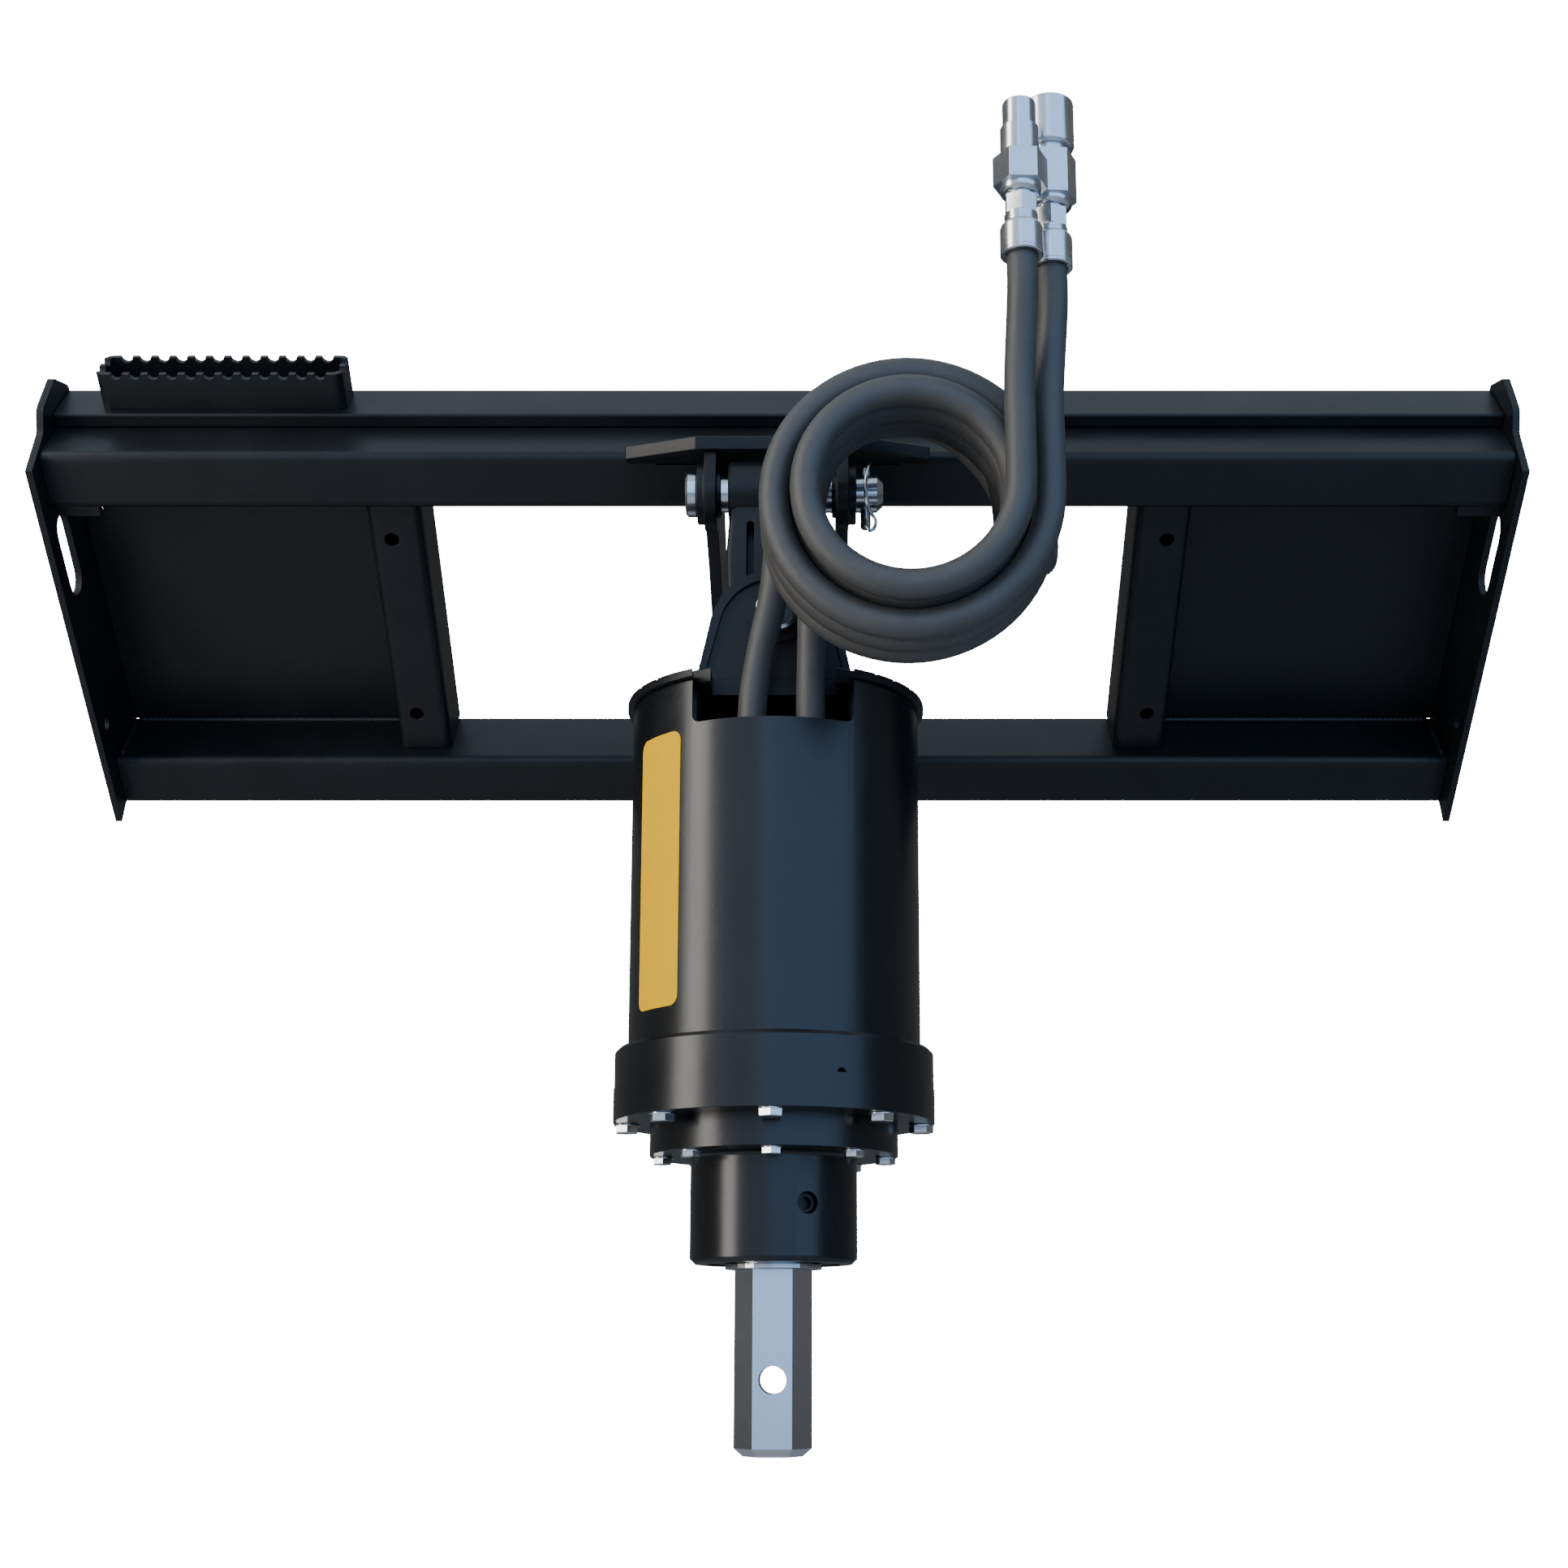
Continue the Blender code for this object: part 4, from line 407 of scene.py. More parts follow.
# %% The routes of the hoses
HOSE_D = 0.022
COIL_X, COIL_Z = 0.100, 0.032
COIL_PITCH = 0.0245
TURNS = 3
JOIN_ANGLE = math.radians(26.0)
RETURN_ROUTE = [(-0.0165, -0.082, -0.150), (-0.0165, -0.082, -0.110), (-0.0150, -0.082, -0.075),
                (-0.0090, -0.083, -0.038), (-0.0010, -0.085, 0.000), (0.0030, -0.087, 0.040),
                (0.0050, -0.088, 0.080), (0.0180, -0.088, 0.122), (0.0520, -0.086, 0.159),
                (0.1000, -0.080, 0.173), (0.1480, -0.066, 0.162), (0.1850, -0.048, 0.130),
                (0.2050, -0.038, 0.095), (0.2110, -0.042, 0.068), (0.2095, -0.056, 0.046),
                (0.2050, -0.078, 0.032), (0.2015, -0.102, 0.029), (0.1990, -0.122, 0.036)]
PRESSURE_ROUTE = [(0.0280, -0.082, -0.150), (0.0280, -0.082, -0.110), (0.0280, -0.082, -0.075),
                  (0.0285, -0.083, -0.038), (0.0290, -0.085, 0.000), (0.0285, -0.087, 0.040),
                  (0.0295, -0.088, 0.080), (0.0415, -0.088, 0.114), (0.0670, -0.086, 0.138),
                  (0.1000, -0.081, 0.147), (0.1350, -0.074, 0.139), (0.1640, -0.064, 0.117),
                  (0.1800, -0.057, 0.092), (0.1860, -0.060, 0.068), (0.1840, -0.073, 0.047),
                  (0.1790, -0.095, 0.036), (0.1750, -0.118, 0.035), (0.1740, -0.138, 0.041)]


def wound(radius, front):
    """Turns of a hose from behind the coil forward to three o'clock at the front."""
    points = []
    steps = 30 * TURNS
    sweep = math.tau * TURNS - JOIN_ANGLE
    for k in range(steps + 1):
        angle = JOIN_ANGLE + sweep * k / steps
        left = TURNS - angle / math.tau
        points.append((COIL_X + radius * math.cos(angle), front + COIL_PITCH * left,
                       COIL_Z + radius * math.sin(angle)))
    return points


def through(points, step):
    """Even points on a smooth curve through the given ones."""
    knots = [Vector(p) for p in points]
    knots = [knots[0] * 2 - knots[1]] + knots + [knots[-1] * 2 - knots[-2]]
    dense = []
    for k in range(1, len(knots) - 2):
        a, b, c, d = knots[k - 1:k + 3]
        for s in range(12):
            t = s / 12
            dense.append(0.5 * (2 * b + (c - a) * t + (2 * a - 5 * b + 4 * c - d) * t * t
                                + (3 * b - a - 3 * c + d) * t ** 3))
    dense.append(knots[-2])
    kept, walked = [dense[0]], 0.0
    for before, after in zip(dense, dense[1:]):
        walked += (after - before).length
        if walked >= step:
            kept.append(after)
            walked = 0.0
    if (kept[-1] - dense[-1]).length < step / 2:
        kept.pop()
    return kept + [dense[-1]]


# %% Draw the hoses
def tube(name, kind, points, radius, rounds, finish):
    """A curve with a round section."""
    data = bpy.data.curves.new(name, "CURVE")
    data.dimensions = "3D"
    data.bevel_depth = radius
    data.bevel_resolution = rounds
    data.use_fill_caps = True
    spline = data.splines.new(kind)
    spline.points.add(len(points) - 1)
    for spot, point in zip(spline.points, points):
        spot.co = (*point, 1.0)
    data.materials.append(finish)
    return into_scene(name, data)


def hose(name, route, radius, lobe, coupler, base):
    """One whole hose, from its port to its ferrule, as a single curve."""
    front = lobe - COIL_PITCH / 4
    turns = wound(radius, front)
    top = (*coupler, base - 0.0003)
    rise = [(COIL_X + radius, front, COIL_Z + 0.040), (COIL_X + radius, front, COIL_Z + 0.075),
            (*coupler, base - 0.030), top]
    line = through(route + turns + rise, 0.007)
    points = [on_drive(*p) for p in line]
    piece = tube(name, "POLY", points, HOSE_D / 2, 7, hose_rubber)
    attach(piece, "drive_unit")
    return piece


return_hose = hose("return_hose", RETURN_ROUTE, 0.0976, -0.219 + COIL_PITCH / 2, FEMALE_AT,
                   FEMALE_BASE)
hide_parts("return_hose_run", "return_hose_coil", "return_hose_riser")
pressure_hose = hose("pressure_hose", PRESSURE_ROUTE, 0.0752, -0.238 + COIL_PITCH / 2, MALE_AT,
                     MALE_BASE)
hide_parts("pressure_hose_run", "pressure_hose_coil", "pressure_hose_riser")

# %% [markdown]
# ## Paint on the solids
#
# A solid whose shape is already right only needs its finish. The lists below say what
# each one is made of.

# %% Finishes of the carried-over solids
FINISHES = {
    satin_coat: ["side_plate_left", "side_plate_right", "top_rail", "bottom_rail", "top_lip",
                 "coupler_plate_left", "coupler_plate_right", "guide_post_left",
                 "guide_post_right", "step_tread", "rail_doubler", "hitch_top_plate",
                 "hitch_ear_left", "hitch_ear_right", "cradle_link", "hood", "head_plate",
                 "cap_ring"],
    gloss_coat: ["motor_shell", "gearbox_cover", "gearbox_base", "output_housing"],
    zinc: ["upper_pin", "linch_pin", "linch_ring", "lower_pin", "lower_pin_washer",
           "return_adaptor", "pressure_adaptor"],
    fitting_steel: ["pressure_ferrule", "return_ferrule", "male_coupler", "female_coupler",
                    "female_sleeve"],
    shaft_steel: ["output_shaft", "shaft_slinger", "upper_bush", "lower_bush"],
    black_steel: ["oil_plug", "tie_rod_1", "tie_rod_2", "tie_rod_3", "tie_rod_4"],
    gear_steel: ["sun_gear", "planet_gear_1", "planet_gear_2", "planet_gear_3", "ring_gear",
                 "planet_carrier", "upper_bearing", "lower_bearing"],
    casting: ["hydraulic_motor"],
    seal_rubber: ["shaft_seal"],
    hose_rubber: ["return_hose_run", "return_hose_coil", "return_hose_riser",
                  "pressure_hose_run", "pressure_hose_coil", "pressure_hose_riser"],
}
FINISH_OF = {}
for finish, names in FINISHES.items():
    for name in names:
        FINISH_OF[name] = finish
        NODES[name].material_slots[0].material = finish
print("painted", len(FINISH_OF), "of", len(NODES))

# %% [markdown]
# ## Softer edges on the plate work
#
# Flame-cut and sawn steel never has a perfect edge, and under a coat of powder each
# edge catches a thin line of light. A copy of each plate is merged, its flat faces are
# made whole, and a small bevel then rounds the edges.

# %% Round the edges of a copied solid
def edged(node, body, width):
    """A copy of a solid with small rounded edges, which then stands for it."""
    bm = bmesh.new()
    bm.from_mesh(NODES[node].data)
    bmesh.ops.remove_doubles(bm, verts=bm.verts, dist=1e-6)
    bmesh.ops.dissolve_limit(bm, angle_limit=math.radians(1.0), verts=bm.verts, edges=bm.edges,
                             delimit=set())
    mesh = bpy.data.meshes.new(node + "_piece")
    bm.to_mesh(mesh)
    bm.free()
    mesh.shade_smooth()
    mesh.materials.append(FINISH_OF[node])
    piece = into_scene(node + "_piece", mesh)
    round_off = piece.modifiers.new("edges", "BEVEL")
    round_off.width = width
    round_off.segments = 2
    round_off.limit_method = "ANGLE"
    round_off.angle_limit = math.radians(32.0)
    keep_faces_true(piece)
    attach(piece, body)
    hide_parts(node)
    return piece


PLATES = {"side_plate_left": 0.0008, "side_plate_right": 0.0008, "top_lip": 0.0010,
          "coupler_plate_left": 0.0008, "coupler_plate_right": 0.0008, "guide_post_left": 0.0006,
          "guide_post_right": 0.0006, "rail_doubler": 0.0005, "hitch_top_plate": 0.0012,
          "hitch_ear_left": 0.0010, "hitch_ear_right": 0.0010, "top_rail": 0.0005,
          "bottom_rail": 0.0005}
for node, width in PLATES.items():
    edged(node, "mounting_frame", width)
edged("cradle_link", "swing_link", 0.0010)
edged("hood", "drive_unit", 0.0009)
edged("output_shaft", "output_shaft", 0.0006)
print("edged", len(PLATES) + 3, "solids")

# %% [markdown]
# The shell is a rolled tube with a window cut in its front, where the hoses go in. The
# window's lower corners are rounded, so its cutter is a box with two edges rounded.

# %% The motor shell
SHELL_R, SHELL_WALL = 0.1123, 0.006
SHELL_TOP, SHELL_BOTTOM = -0.0674, -0.3366
NOTCH_HALF, NOTCH_DROP, NOTCH_BACK = 0.0605, 0.0344, -0.058
FIT = 0.0003
shell = place("motor_shell_piece",
              spun([(SHELL_R - SHELL_WALL, SHELL_BOTTOM + FIT), (SHELL_R, SHELL_BOTTOM + FIT),
                    (SHELL_R, SHELL_TOP), (SHELL_R - SHELL_WALL, SHELL_TOP)], 144, 0.0008),
              gloss_coat, "drive_unit", DRIVE, stands_for=["motor_shell"])
window = block((-NOTCH_HALF, -0.140, SHELL_TOP - NOTCH_DROP),
               (NOTCH_HALF, NOTCH_BACK, SHELL_TOP + 0.02))
lower = [e for e in window.edges
         if all(v.co.z < SHELL_TOP - NOTCH_DROP + 1e-6 for v in e.verts)
         and abs(e.verts[0].co.x - e.verts[1].co.x) < 1e-6]
bmesh.ops.bevel(window, geom=lower, offset=0.006, offset_type="OFFSET", affect="EDGES", segments=5,
                profile=0.5, material=-1)
carve(shell, window, DRIVE)
print("shell faces:", len(shell.data.polygons))

# %% The cap ring and the head plate
HEAD_R, CAP_R, CAP_TOP = 0.0995, 0.117, SHELL_TOP + 0.0068
cap = place("cap_ring_piece",
            spun([(HEAD_R + FIT, SHELL_TOP + FIT), (CAP_R, SHELL_TOP + FIT), (CAP_R, CAP_TOP),
                  (HEAD_R + FIT, CAP_TOP)], 144, 0.0010),
            satin_coat, "drive_unit", DRIVE, stands_for=["cap_ring"])
carve(cap, block((-NOTCH_HALF, -0.150, -0.12), (NOTCH_HALF, NOTCH_BACK, 0.0)), DRIVE)
for azimuth in (-62, -50, 30, 42, 52, 64, 118, 142, 218, 242):
    slot = block((-0.002, -0.122, SHELL_TOP + 0.0050), (0.002, -0.1145, SHELL_TOP + 0.0150))
    bmesh.ops.rotate(slot, cent=(0, 0, 0), matrix=Matrix.Rotation(math.radians(azimuth), 3, "Z"),
                     verts=slot.verts)
    carve(cap, slot, DRIVE)
edged("head_plate", "drive_unit", 0.0008)
print("cap ring cut")

# %% [markdown]
# ## The gearbox housings
#
# Three castings are stacked under the shell, bolted tight and painted over, so that
# their seams hardly show. Each is one spun profile with its own small chamfers.

# %% Gearbox cover, base and output housing
COVER_R, BASE_R, NECK_R, HUB_R = 0.1222, 0.1228, 0.0946, 0.0634
CASE_BORE, NECK_BORE, HUB_BORE = 0.1063, 0.0765, 0.050
COVER_LOW = SHELL_BOTTOM - 0.0302
BASE_LOW = COVER_LOW - 0.0255
NECK_LOW = BASE_LOW - 0.0136
FLANGE_LOW = NECK_LOW - 0.0113
HUB_BOTTOM = -0.498
COVER_TOP, ROOF = SHELL_BOTTOM, SHELL_BOTTOM - 0.0125
SEAM = 0.00002
cover = place("gearbox_cover_piece",
              spun([(0.019, ROOF), (CASE_BORE, ROOF), (CASE_BORE, COVER_LOW + SEAM),
                    (COVER_R, COVER_LOW + SEAM), (COVER_R, COVER_TOP - 0.0030),
                    (COVER_R - 0.0030, COVER_TOP), (0.019, COVER_TOP)], 144),
              gloss_coat, "drive_unit", DRIVE, stands_for=["gearbox_cover"])
base = place("gearbox_base_piece",
             spun([(NECK_BORE, NECK_LOW + SEAM), (NECK_R, NECK_LOW + SEAM), (NECK_R, BASE_LOW),
                   (BASE_R - 0.0004, BASE_LOW), (BASE_R, BASE_LOW + 0.0004), (BASE_R, COVER_LOW),
                   (CASE_BORE, COVER_LOW), (CASE_BORE, BASE_LOW + 0.0065),
                   (NECK_BORE, BASE_LOW + 0.0065)], 144),
             gloss_coat, "drive_unit", DRIVE, stands_for=["gearbox_base"])
hub = place("output_housing_piece",
            spun([(HUB_BORE, HUB_BOTTOM), (HUB_R - 0.004, HUB_BOTTOM), (HUB_R, HUB_BOTTOM + 0.004),
                  (HUB_R, FLANGE_LOW - 0.004), (HUB_R + 0.004, FLANGE_LOW),
                  (NECK_R - 0.0004, FLANGE_LOW), (NECK_R, FLANGE_LOW + 0.0004),
                  (NECK_R, NECK_LOW), (HUB_BORE, NECK_LOW)], 144),
            gloss_coat, "drive_unit", DRIVE, stands_for=["output_housing"])
print("housings spun")

# %% The drain notch and the plug's bore
PLUG_TURN = Matrix.Rotation(math.radians(24.5), 4, "Z")
NOTCH_R, BORE_R, BORE_Z = 0.0035, 0.00825, -0.4555


def radial_rod(radius, start, end, height):
    """A rod that points outward from the drive's axis, toward the front."""
    rod = spun([(0.0, start), (radius, start), (radius, end), (0.0, end)], 32)
    bmesh.ops.transform(rod, matrix=Matrix.Rotation(math.radians(90), 4, "X"), verts=rod.verts)
    bmesh.ops.transform(rod, matrix=PLUG_TURN, verts=rod.verts)
    bmesh.ops.translate(rod, vec=(0, 0, height), verts=rod.verts)
    return rod


carve(cover, radial_rod(NOTCH_R, 0.104, 0.130, COVER_LOW), DRIVE)
carve(hub, radial_rod(BORE_R, 0.040, 0.080, BORE_Z), DRIVE)
print("notch and bore cut")

# %% [markdown]
# ## Bolts
#
# Eight bolts hold each flange. A real bolt head has six flats, a turned crown that
# takes off the points, and a washer face under it. One head is modelled, and copies of
# it are set round each circle, every one turned a little differently, as a wrench
# leaves them.

# %% A bolt head
def bolt_head(across, height):
    """A hexagon head that hangs down from its face at zero height."""
    bm = bmesh.new()
    bmesh.ops.create_cone(bm, cap_ends=True, segments=6, radius1=across / math.sqrt(3),
                          radius2=across / math.sqrt(3), depth=height)
    bmesh.ops.translate(bm, vec=(0, 0, -height / 2), verts=bm.verts)
    low = [e for e in bm.edges if all(v.co.z < -height + 1e-6 for v in e.verts)]
    bmesh.ops.bevel(bm, geom=low, offset=across * 0.055, offset_type="OFFSET", affect="EDGES",
                    segments=3, profile=0.5, material=-1)
    washer = spun([(0.0, -0.0012), (across * 0.60, -0.0012), (across * 0.60, -0.0001),
                   (0.0, -0.0001)], 32, 0.0003)
    take_in(bm, washer)
    return bm


def bolt_circle(name, radius, across, height, face):
    """Eight bolt heads under a flange, one of them at the front."""
    wrench_turn = 11  # degrees from each bolt to the next
    whole = bmesh.new()
    for k in range(8):
        head = bolt_head(across, height)
        turn = Matrix.Rotation(math.radians(wrench_turn * k), 4, "Z")
        angle = math.tau * k / 8 - math.pi / 2
        spot = Matrix.Translation((radius * math.cos(angle), radius * math.sin(angle), face))
        bmesh.ops.transform(head, matrix=spot @ turn, verts=head.verts)
        take_in(whole, head)
    return place(name, whole, zinc, "drive_unit", DRIVE, slot="lower_pin_washer")


bolt_circle("flange_bolts", 0.1125, 0.0162, 0.0067, BASE_LOW)
bolt_circle("hub_bolts", 0.085, 0.0132, 0.0057, FLANGE_LOW)
print("sixteen bolt heads")

# %% [markdown]
# ## The grip step
#
# The step is a folded box whose rim is punched with round bites, so that a boot finds
# an edge in any direction. The frame leans back by fifty degrees. The step is built
# level, in the frame's own axes, and then leaned with it.

# %% Grip step
LEAN = Matrix.Rotation(math.radians(50.0), 4, "X")
STEP_X, STEP_Y, STEP_L, STEP_W, STEP_H, STEP_WALL = -0.4685, 0.005, 0.207, 0.040, 0.031, 0.005
RAIL_MIDDLE, RAIL_HALF, LIP_T = 0.1505, 0.025, 0.012
STEP_LOW = RAIL_MIDDLE + RAIL_HALF + FIT + LIP_T + FIT
PITCH, BITES, BITE_R, BITE_RISE = 0.0155, 12, 0.0050, 0.0004
END_BITE = 0.0078


def rounded_box_outline(length, width, radius, steps=5):
    """Corner points of a rectangle with round corners."""
    points = []
    for cx, cy, start in ((1, 1, 0), (-1, 1, 90), (-1, -1, 180), (1, -1, 270)):
        for k in range(steps + 1):
            angle = math.radians(start + 90 * k / steps)
            points.append((cx * (length / 2 - radius) + radius * math.cos(angle),
                           cy * (width / 2 - radius) + radius * math.sin(angle)))
    return points


rim = bmesh.new()
loops = []
for outline in (rounded_box_outline(STEP_L, STEP_W, 0.008),
                rounded_box_outline(STEP_L - 2 * STEP_WALL, STEP_W - 2 * STEP_WALL, 0.003)):
    ring = [rim.verts.new((x, y, 0.0)) for x, y in outline]
    loops += [rim.edges.new((ring[k - 1], ring[k])) for k in range(len(ring))]
floor_ring = bmesh.ops.bridge_loops(rim, edges=loops)
grown = bmesh.ops.extrude_face_region(rim, geom=floor_ring["faces"])
bmesh.ops.translate(rim, verts=[v for v in grown["geom"] if isinstance(v, bmesh.types.BMVert)],
                    vec=(0, 0, STEP_H))
bmesh.ops.recalc_face_normals(rim, faces=rim.faces)
step = place("grip_step", rim, satin_coat, "mounting_frame",
             LEAN @ Vector((STEP_X, STEP_Y, STEP_LOW)), LEAN, stands_for=["step_tread"])


def bite(x, y, along):
    """A short rod lying across the rim, which bites a round notch out of it."""
    rod = bmesh.new()
    bmesh.ops.create_cone(rod, cap_ends=True, segments=20, radius1=BITE_R, radius2=BITE_R,
                          depth=0.016)
    bmesh.ops.rotate(rod, cent=(0, 0, 0), verts=rod.verts,
                     matrix=Matrix.Rotation(math.radians(90), 3, "X" if along == "x" else "Y"))
    bmesh.ops.translate(rod, vec=(STEP_X + x, STEP_Y + y, STEP_LOW + STEP_H + BITE_RISE),
                        verts=rod.verts)
    bmesh.ops.transform(rod, matrix=LEAN, verts=rod.verts)
    return rod


for k in range(BITES):
    for side in (-1, 1):
        carve(step, bite((k - (BITES - 1) / 2) * PITCH, side * (STEP_W / 2 - STEP_WALL / 2), "x"))
for end in (-1, 1):
    for y in (-END_BITE, END_BITE):
        carve(step, bite(end * (STEP_L / 2 - STEP_WALL / 2), y, "y"))
print("step faces:", len(step.data.polygons))

# %% [markdown]
# ## Welds
#
# A weld bead is a row of overlapping ripples that fills an inside corner. Each one here
# is a thin rod whose radius rises and falls along its length.

# %% Weld beads
def weld(name, start, end, radius):
    """A rippled bead between two points of the leaning frame."""
    start, end = LEAN @ Vector(start), LEAN @ Vector(end)
    span = end - start
    rings = max(8, int(span.length / 0.0016))
    turn = span.to_track_quat("Z", "Y").to_matrix()
    bm = bmesh.new()
    before = None
    for k in range(rings + 1):
        swell = radius * (0.88 + 0.12 * math.sin(math.tau * k * 0.34))
        swell *= min(1.0, 0.55 + 0.25 * min(k, rings - k))
        spot = start + span * k / rings
        ring = [bm.verts.new(spot + turn @ Vector((swell * math.cos(math.tau * j / 8),
                                                   swell * math.sin(math.tau * j / 8), 0)))
                for j in range(8)]
        if before:
            for j in range(8):
                bm.faces.new((before[j - 1], before[j], ring[j], ring[j - 1]))
        else:
            bm.faces.new(ring)
        before = ring
    bm.faces.new(before)
    bmesh.ops.recalc_face_normals(bm, faces=bm.faces)
    piece = place(name, bm, weld_metal, "mounting_frame", slot="top_rail")
    piece.data.set_sharp_from_angle(angle=math.radians(80))
    return piece


CLEAR = RAIL_MIDDLE - RAIL_HALF
PLATE_Y, PLATE_IN = -0.0085, 0.3535
SIDE_X, SIDE_FRONT, SIDE_BACK = 0.6070, -0.066, -0.012
for side, word in ((-1, "left"), (1, "right")):
    for level, up, out in (("low", -1, 0.606), ("high", 1, 0.575)):
        z = up * (CLEAR - 0.0006)
        weld(f"plate_weld_{level}_{word}", (side * PLATE_IN, PLATE_Y, z),
             (side * out, PLATE_Y, z), 0.0030)
    for level, up in (("low", -1), ("high", 1)):
        z = up * (CLEAR - 0.0004)
        weld(f"rail_weld_{level}_{word}", (side * SIDE_X, SIDE_FRONT, z),
             (side * SIDE_X, SIDE_BACK, z), 0.0028)
print("beads laid")

# %% [markdown]
# ## The pins
#
# Plated pins are turned bar. The light runs along them in long clean lines, so they are
# spun here with many more steps than the solids have.

# %% Swing pin, linch pin and tilt pin
PIN = HINGES["frame_swing"]
ALONG_X = Matrix.Rotation(math.radians(90), 4, "Y")
ALONG_Y = Matrix.Rotation(math.radians(-90), 4, "X")
EAR_FACE, PIN_R, PIN_HEAD_R, HEAD_T = 0.0643, 0.0150, 0.0185, 0.009
TAIL, TAIL_CONE, CONE_R = 0.0165, 0.0215, 0.0102
place("swing_pin", spun([
    (0.0, -EAR_FACE - HEAD_T), (0.0165, -EAR_FACE - HEAD_T), (PIN_HEAD_R, -EAR_FACE - 0.007),
    (PIN_HEAD_R, -EAR_FACE - 0.0008), (0.0178, -EAR_FACE), (PIN_R, -EAR_FACE),
    (PIN_R, EAR_FACE + TAIL), (CONE_R, EAR_FACE + TAIL_CONE), (0.0, EAR_FACE + TAIL_CONE)], 96),
    zinc, "mounting_frame", PIN, ALONG_X, ["upper_pin"])
ACROSS = EAR_FACE + 0.0075
place("linch_pin_piece", spun([
    (0.0, -0.0300), (0.0032, -0.0300), (0.0042, -0.0288), (0.0042, 0.0205), (0.0034, 0.0220),
    (0.0, 0.0224)], 48), zinc, "mounting_frame", (PIN.x + ACROSS, PIN.y, PIN.z), None,
    ["linch_pin"])
(low_x, head_face, low_z), (high_x, pin_end, high_z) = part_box("lower_pin")
SPAN = pin_end - head_face
place("tilt_pin", spun([
    (0.0, 0.0), (0.0140, 0.0), (0.0150, 0.0006), (0.0172, 0.0016), (0.0176, 0.0026),
    (0.0176, 0.0068), (0.0130, 0.0070), (0.0130, SPAN - 0.002), (0.0115, SPAN), (0.0, SPAN)],
    96), zinc, "drive_unit", ((low_x + high_x) / 2, head_face, (low_z + high_z) / 2), ALONG_Y,
    ["lower_pin"])
print("pins turned")

# %% [markdown]
# The link between the two pins is a casting. A thin web inside each of its two slots
# closes the view through it.

# %% Webs of the link
SLOT_X, WEB_HALF = 0.0205, 0.0034
webs = bmesh.new()
for side in (-1, 1):
    web = block((side * SLOT_X - WEB_HALF, -0.0015, -0.083),
                (side * SLOT_X + WEB_HALF, 0.0015, -0.029))
    broken(web, 0.0005)
    take_in(webs, web)
place("link_webs", webs, satin_coat, "swing_link", PIN, slot="cradle_link")
print("webs set")

# %% [markdown]
# ## The linch pin's ring
#
# A sprung wire ring keeps the linch pin in the swing pin. It snaps round the front of
# the pin and ends in a small loop to pull.

# %% Wire ring
wire_line = [(0.0030, -0.0085, 0.0225), (0.0015, -0.0150, 0.0165), (0.0, -0.0178, 0.0080),
             (-0.0004, -0.0180, 0.0), (0.0, -0.0176, -0.0080), (0.0010, -0.0150, -0.0165),
             (0.0035, -0.0110, -0.0205), (0.0070, -0.0090, -0.0235), (0.0082, -0.0085, -0.0280),
             (0.0072, -0.0080, -0.0325), (0.0040, -0.0078, -0.0350), (0.0014, -0.0076, -0.0335),
             (0.0010, -0.0070, -0.0280), (0.0010, -0.0060, -0.0240)]
middle = Vector((ACROSS, PIN.y, PIN.z))
linch_wire = tube("linch_wire", "NURBS", [middle + Vector(p) for p in wire_line], 0.0015, 4, zinc)
strand = linch_wire.data.splines[0]
strand.use_endpoint_u = True
strand.order_u = 4
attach(linch_wire, "mounting_frame")
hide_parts("linch_ring")
print("wire ring bent")

# %% [markdown]
# ## A plain stripe
#
# The shell carries a plain yellow stripe down its left side. It is a thin curved film,
# just proud of the paint, with round corners.

# %% Stripe on the shell
def film(name, finish, azimuth, half_angle, low, high, corner):
    """A thin patch that lies on the shell, centred on an azimuth from the front."""
    bm = bmesh.new()
    radius = SHELL_R + 0.0004
    columns, steps = 14, 10
    rounds = [(corner * (1 - math.cos(math.pi / 2 * k / steps)),
               corner * (1 - math.sin(math.pi / 2 * k / steps))) for k in range(steps + 1)]
    levels = [(low + rise, pull) for rise, pull in rounds]
    levels += [(high - rise, pull) for rise, pull in reversed(rounds)]
    grid = []
    for z, pull in levels:
        narrowed = half_angle * radius - pull
        line = []
        for j in range(columns + 1):
            angle = azimuth + (narrowed / radius) * (2 * j / columns - 1)
            line.append(bm.verts.new((radius * math.sin(angle), -radius * math.cos(angle), z)))
        grid.append(line)
    for under, over in zip(grid, grid[1:]):
        for j in range(columns):
            bm.faces.new((under[j], under[j + 1], over[j + 1], over[j]))
    bmesh.ops.recalc_face_normals(bm, faces=bm.faces)
    bmesh.ops.solidify(bm, geom=bm.faces[:], thickness=0.0003)
    return place(name, bm, finish, "drive_unit", DRIVE)


film("side_stripe", yellow_film, azimuth=math.radians(-50.5), half_angle=math.radians(12.5),
     low=-0.3140, high=-0.1050, corner=0.008)
print("stripe laid")

# %% [markdown]
# ## Floor and light
#
# The photograph is cut out on white. A pale floor under the hanging frame, a pale
# surround and four large soft lamps give long clean reflections on the shell.

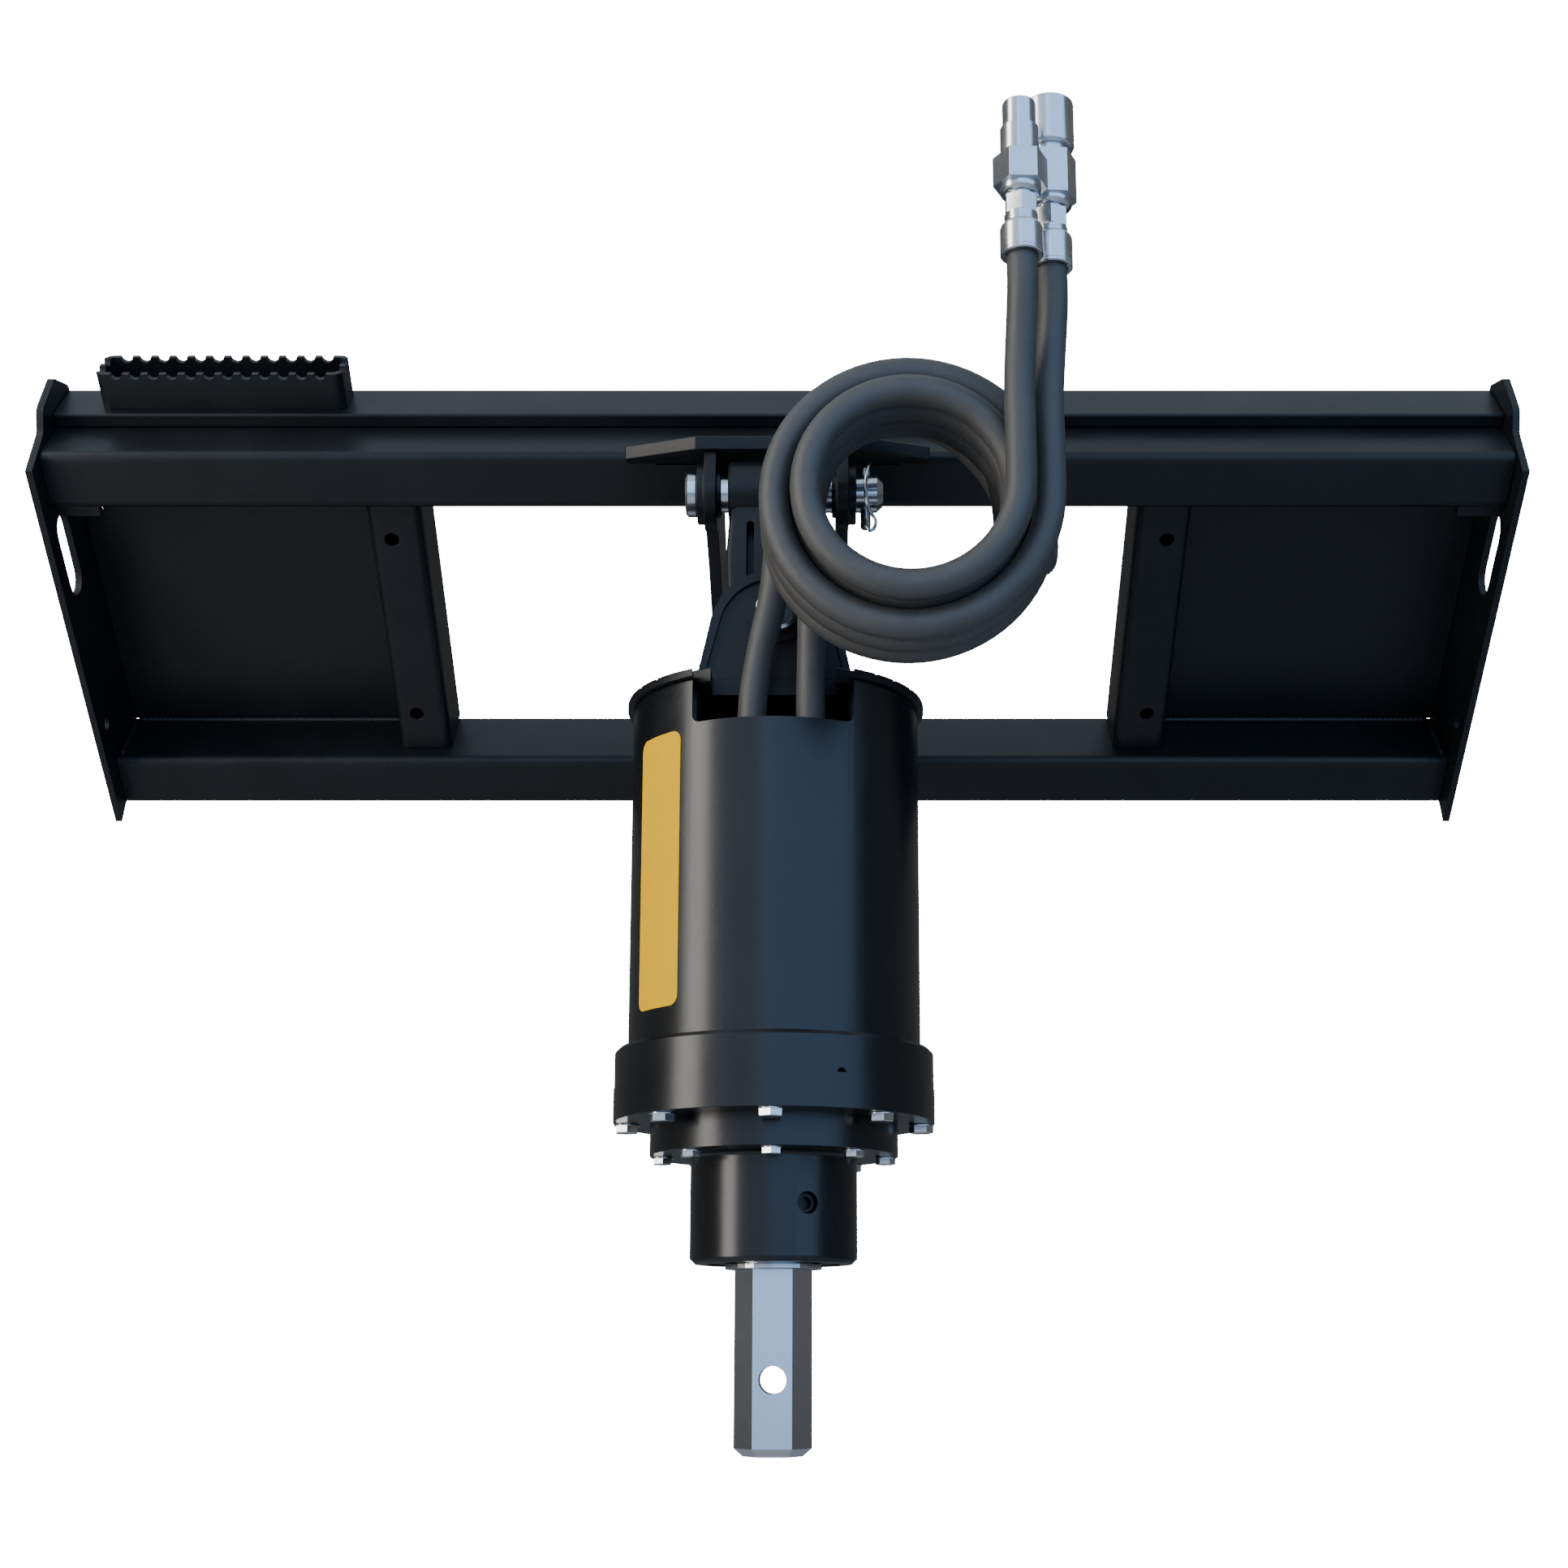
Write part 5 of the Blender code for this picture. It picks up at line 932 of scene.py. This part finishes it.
# %% The studio
ground = bmesh.new()
bmesh.ops.create_grid(ground, x_segments=1, y_segments=1, size=40.0)
FLOOR_DROP = 0.80
bmesh.ops.translate(ground, vec=(0.0, 0.0, CAD_BOX[0][2] - FLOOR_DROP), verts=ground.verts)
floor_mesh = bpy.data.meshes.new("floor")
ground.to_mesh(floor_mesh)
ground.free()
floor = into_scene("floor", floor_mesh)
floor_paint = mottled("pale_floor", (0.50, 0.50, 0.50), (0.52, 0.52, 0.52), (0.6, 0.7), cloud=1.0)
floor_mesh.materials.append(floor_paint)
glow = floor_paint.node_tree.nodes["Principled BSDF"]
WHITE = 16.0
glow.inputs["Emission Color"].default_value = (WHITE, WHITE, WHITE, 1.0)
ray = floor_paint.node_tree.nodes.new("ShaderNodeLightPath")
floor_paint.node_tree.links.new(ray.outputs["Is Camera Ray"], glow.inputs["Emission Strength"])

# %% [markdown]
# Floor and surround are white where they are seen, and the surround is dim where it
# lights the model. That is how a product photographer works: a bright backdrop far
# behind, and soft lamps near by.

# %% The surround
world = bpy.data.worlds.new("studio")
world.use_nodes = True
sky = world.node_tree
backdrop = sky.nodes["Background"]
backdrop.inputs["Color"].default_value = (1.0, 1.0, 1.0, 1.0)
backdrop.inputs["Strength"].default_value = WHITE
dim = sky.nodes.new("ShaderNodeBackground")
dim.inputs["Color"].default_value = (0.92, 0.96, 1.0, 1.0)
dim.inputs["Strength"].default_value = 0.13
seen = sky.nodes.new("ShaderNodeLightPath")
either = sky.nodes.new("ShaderNodeMixShader")
sky.links.new(seen.outputs["Is Camera Ray"], either.inputs["Fac"])
sky.links.new(dim.outputs["Background"], either.inputs[1])
sky.links.new(backdrop.outputs["Background"], either.inputs[2])
sky.links.new(either.outputs["Shader"], sky.nodes["World Output"].inputs["Surface"])
bpy.context.scene.world = world


# %% Soft lamps
def lamp(name, at, target, size, power, colour):
    """A large soft lamp that looks at a point."""
    light = bpy.data.lights.new(name, "AREA")
    light.shape = "RECTANGLE"
    light.size, light.size_y = size
    light.energy = power
    light.color = colour
    holder = into_scene(name, light)
    holder.location = at
    aim = Vector(target) - Vector(at)
    holder.rotation_euler = aim.to_track_quat("-Z", "Y").to_euler()
    holder.visible_camera = False


lamp("left_strip", (-2.0, -1.3, 0.5), (0, -0.2, 0.3), (0.8, 3.2), 58, (1.0, 0.96, 0.88))
lamp("right_panel", (1.35, -2.7, 0.85), (0, -0.2, 0.4), (4.4, 4.0), 88, (0.34, 0.58, 1.0))
lamp("front_panel", (-1.25, -2.75, 0.85), (0, -0.2, 0.4), (2.2, 4.0), 22, (0.62, 0.74, 1.0))
lamp("top_panel", (0.0, -0.4, 3.2), (0, -0.2, -0.1), (6.0, 5.0), 66, (0.66, 0.84, 1.0))
print("stage set")
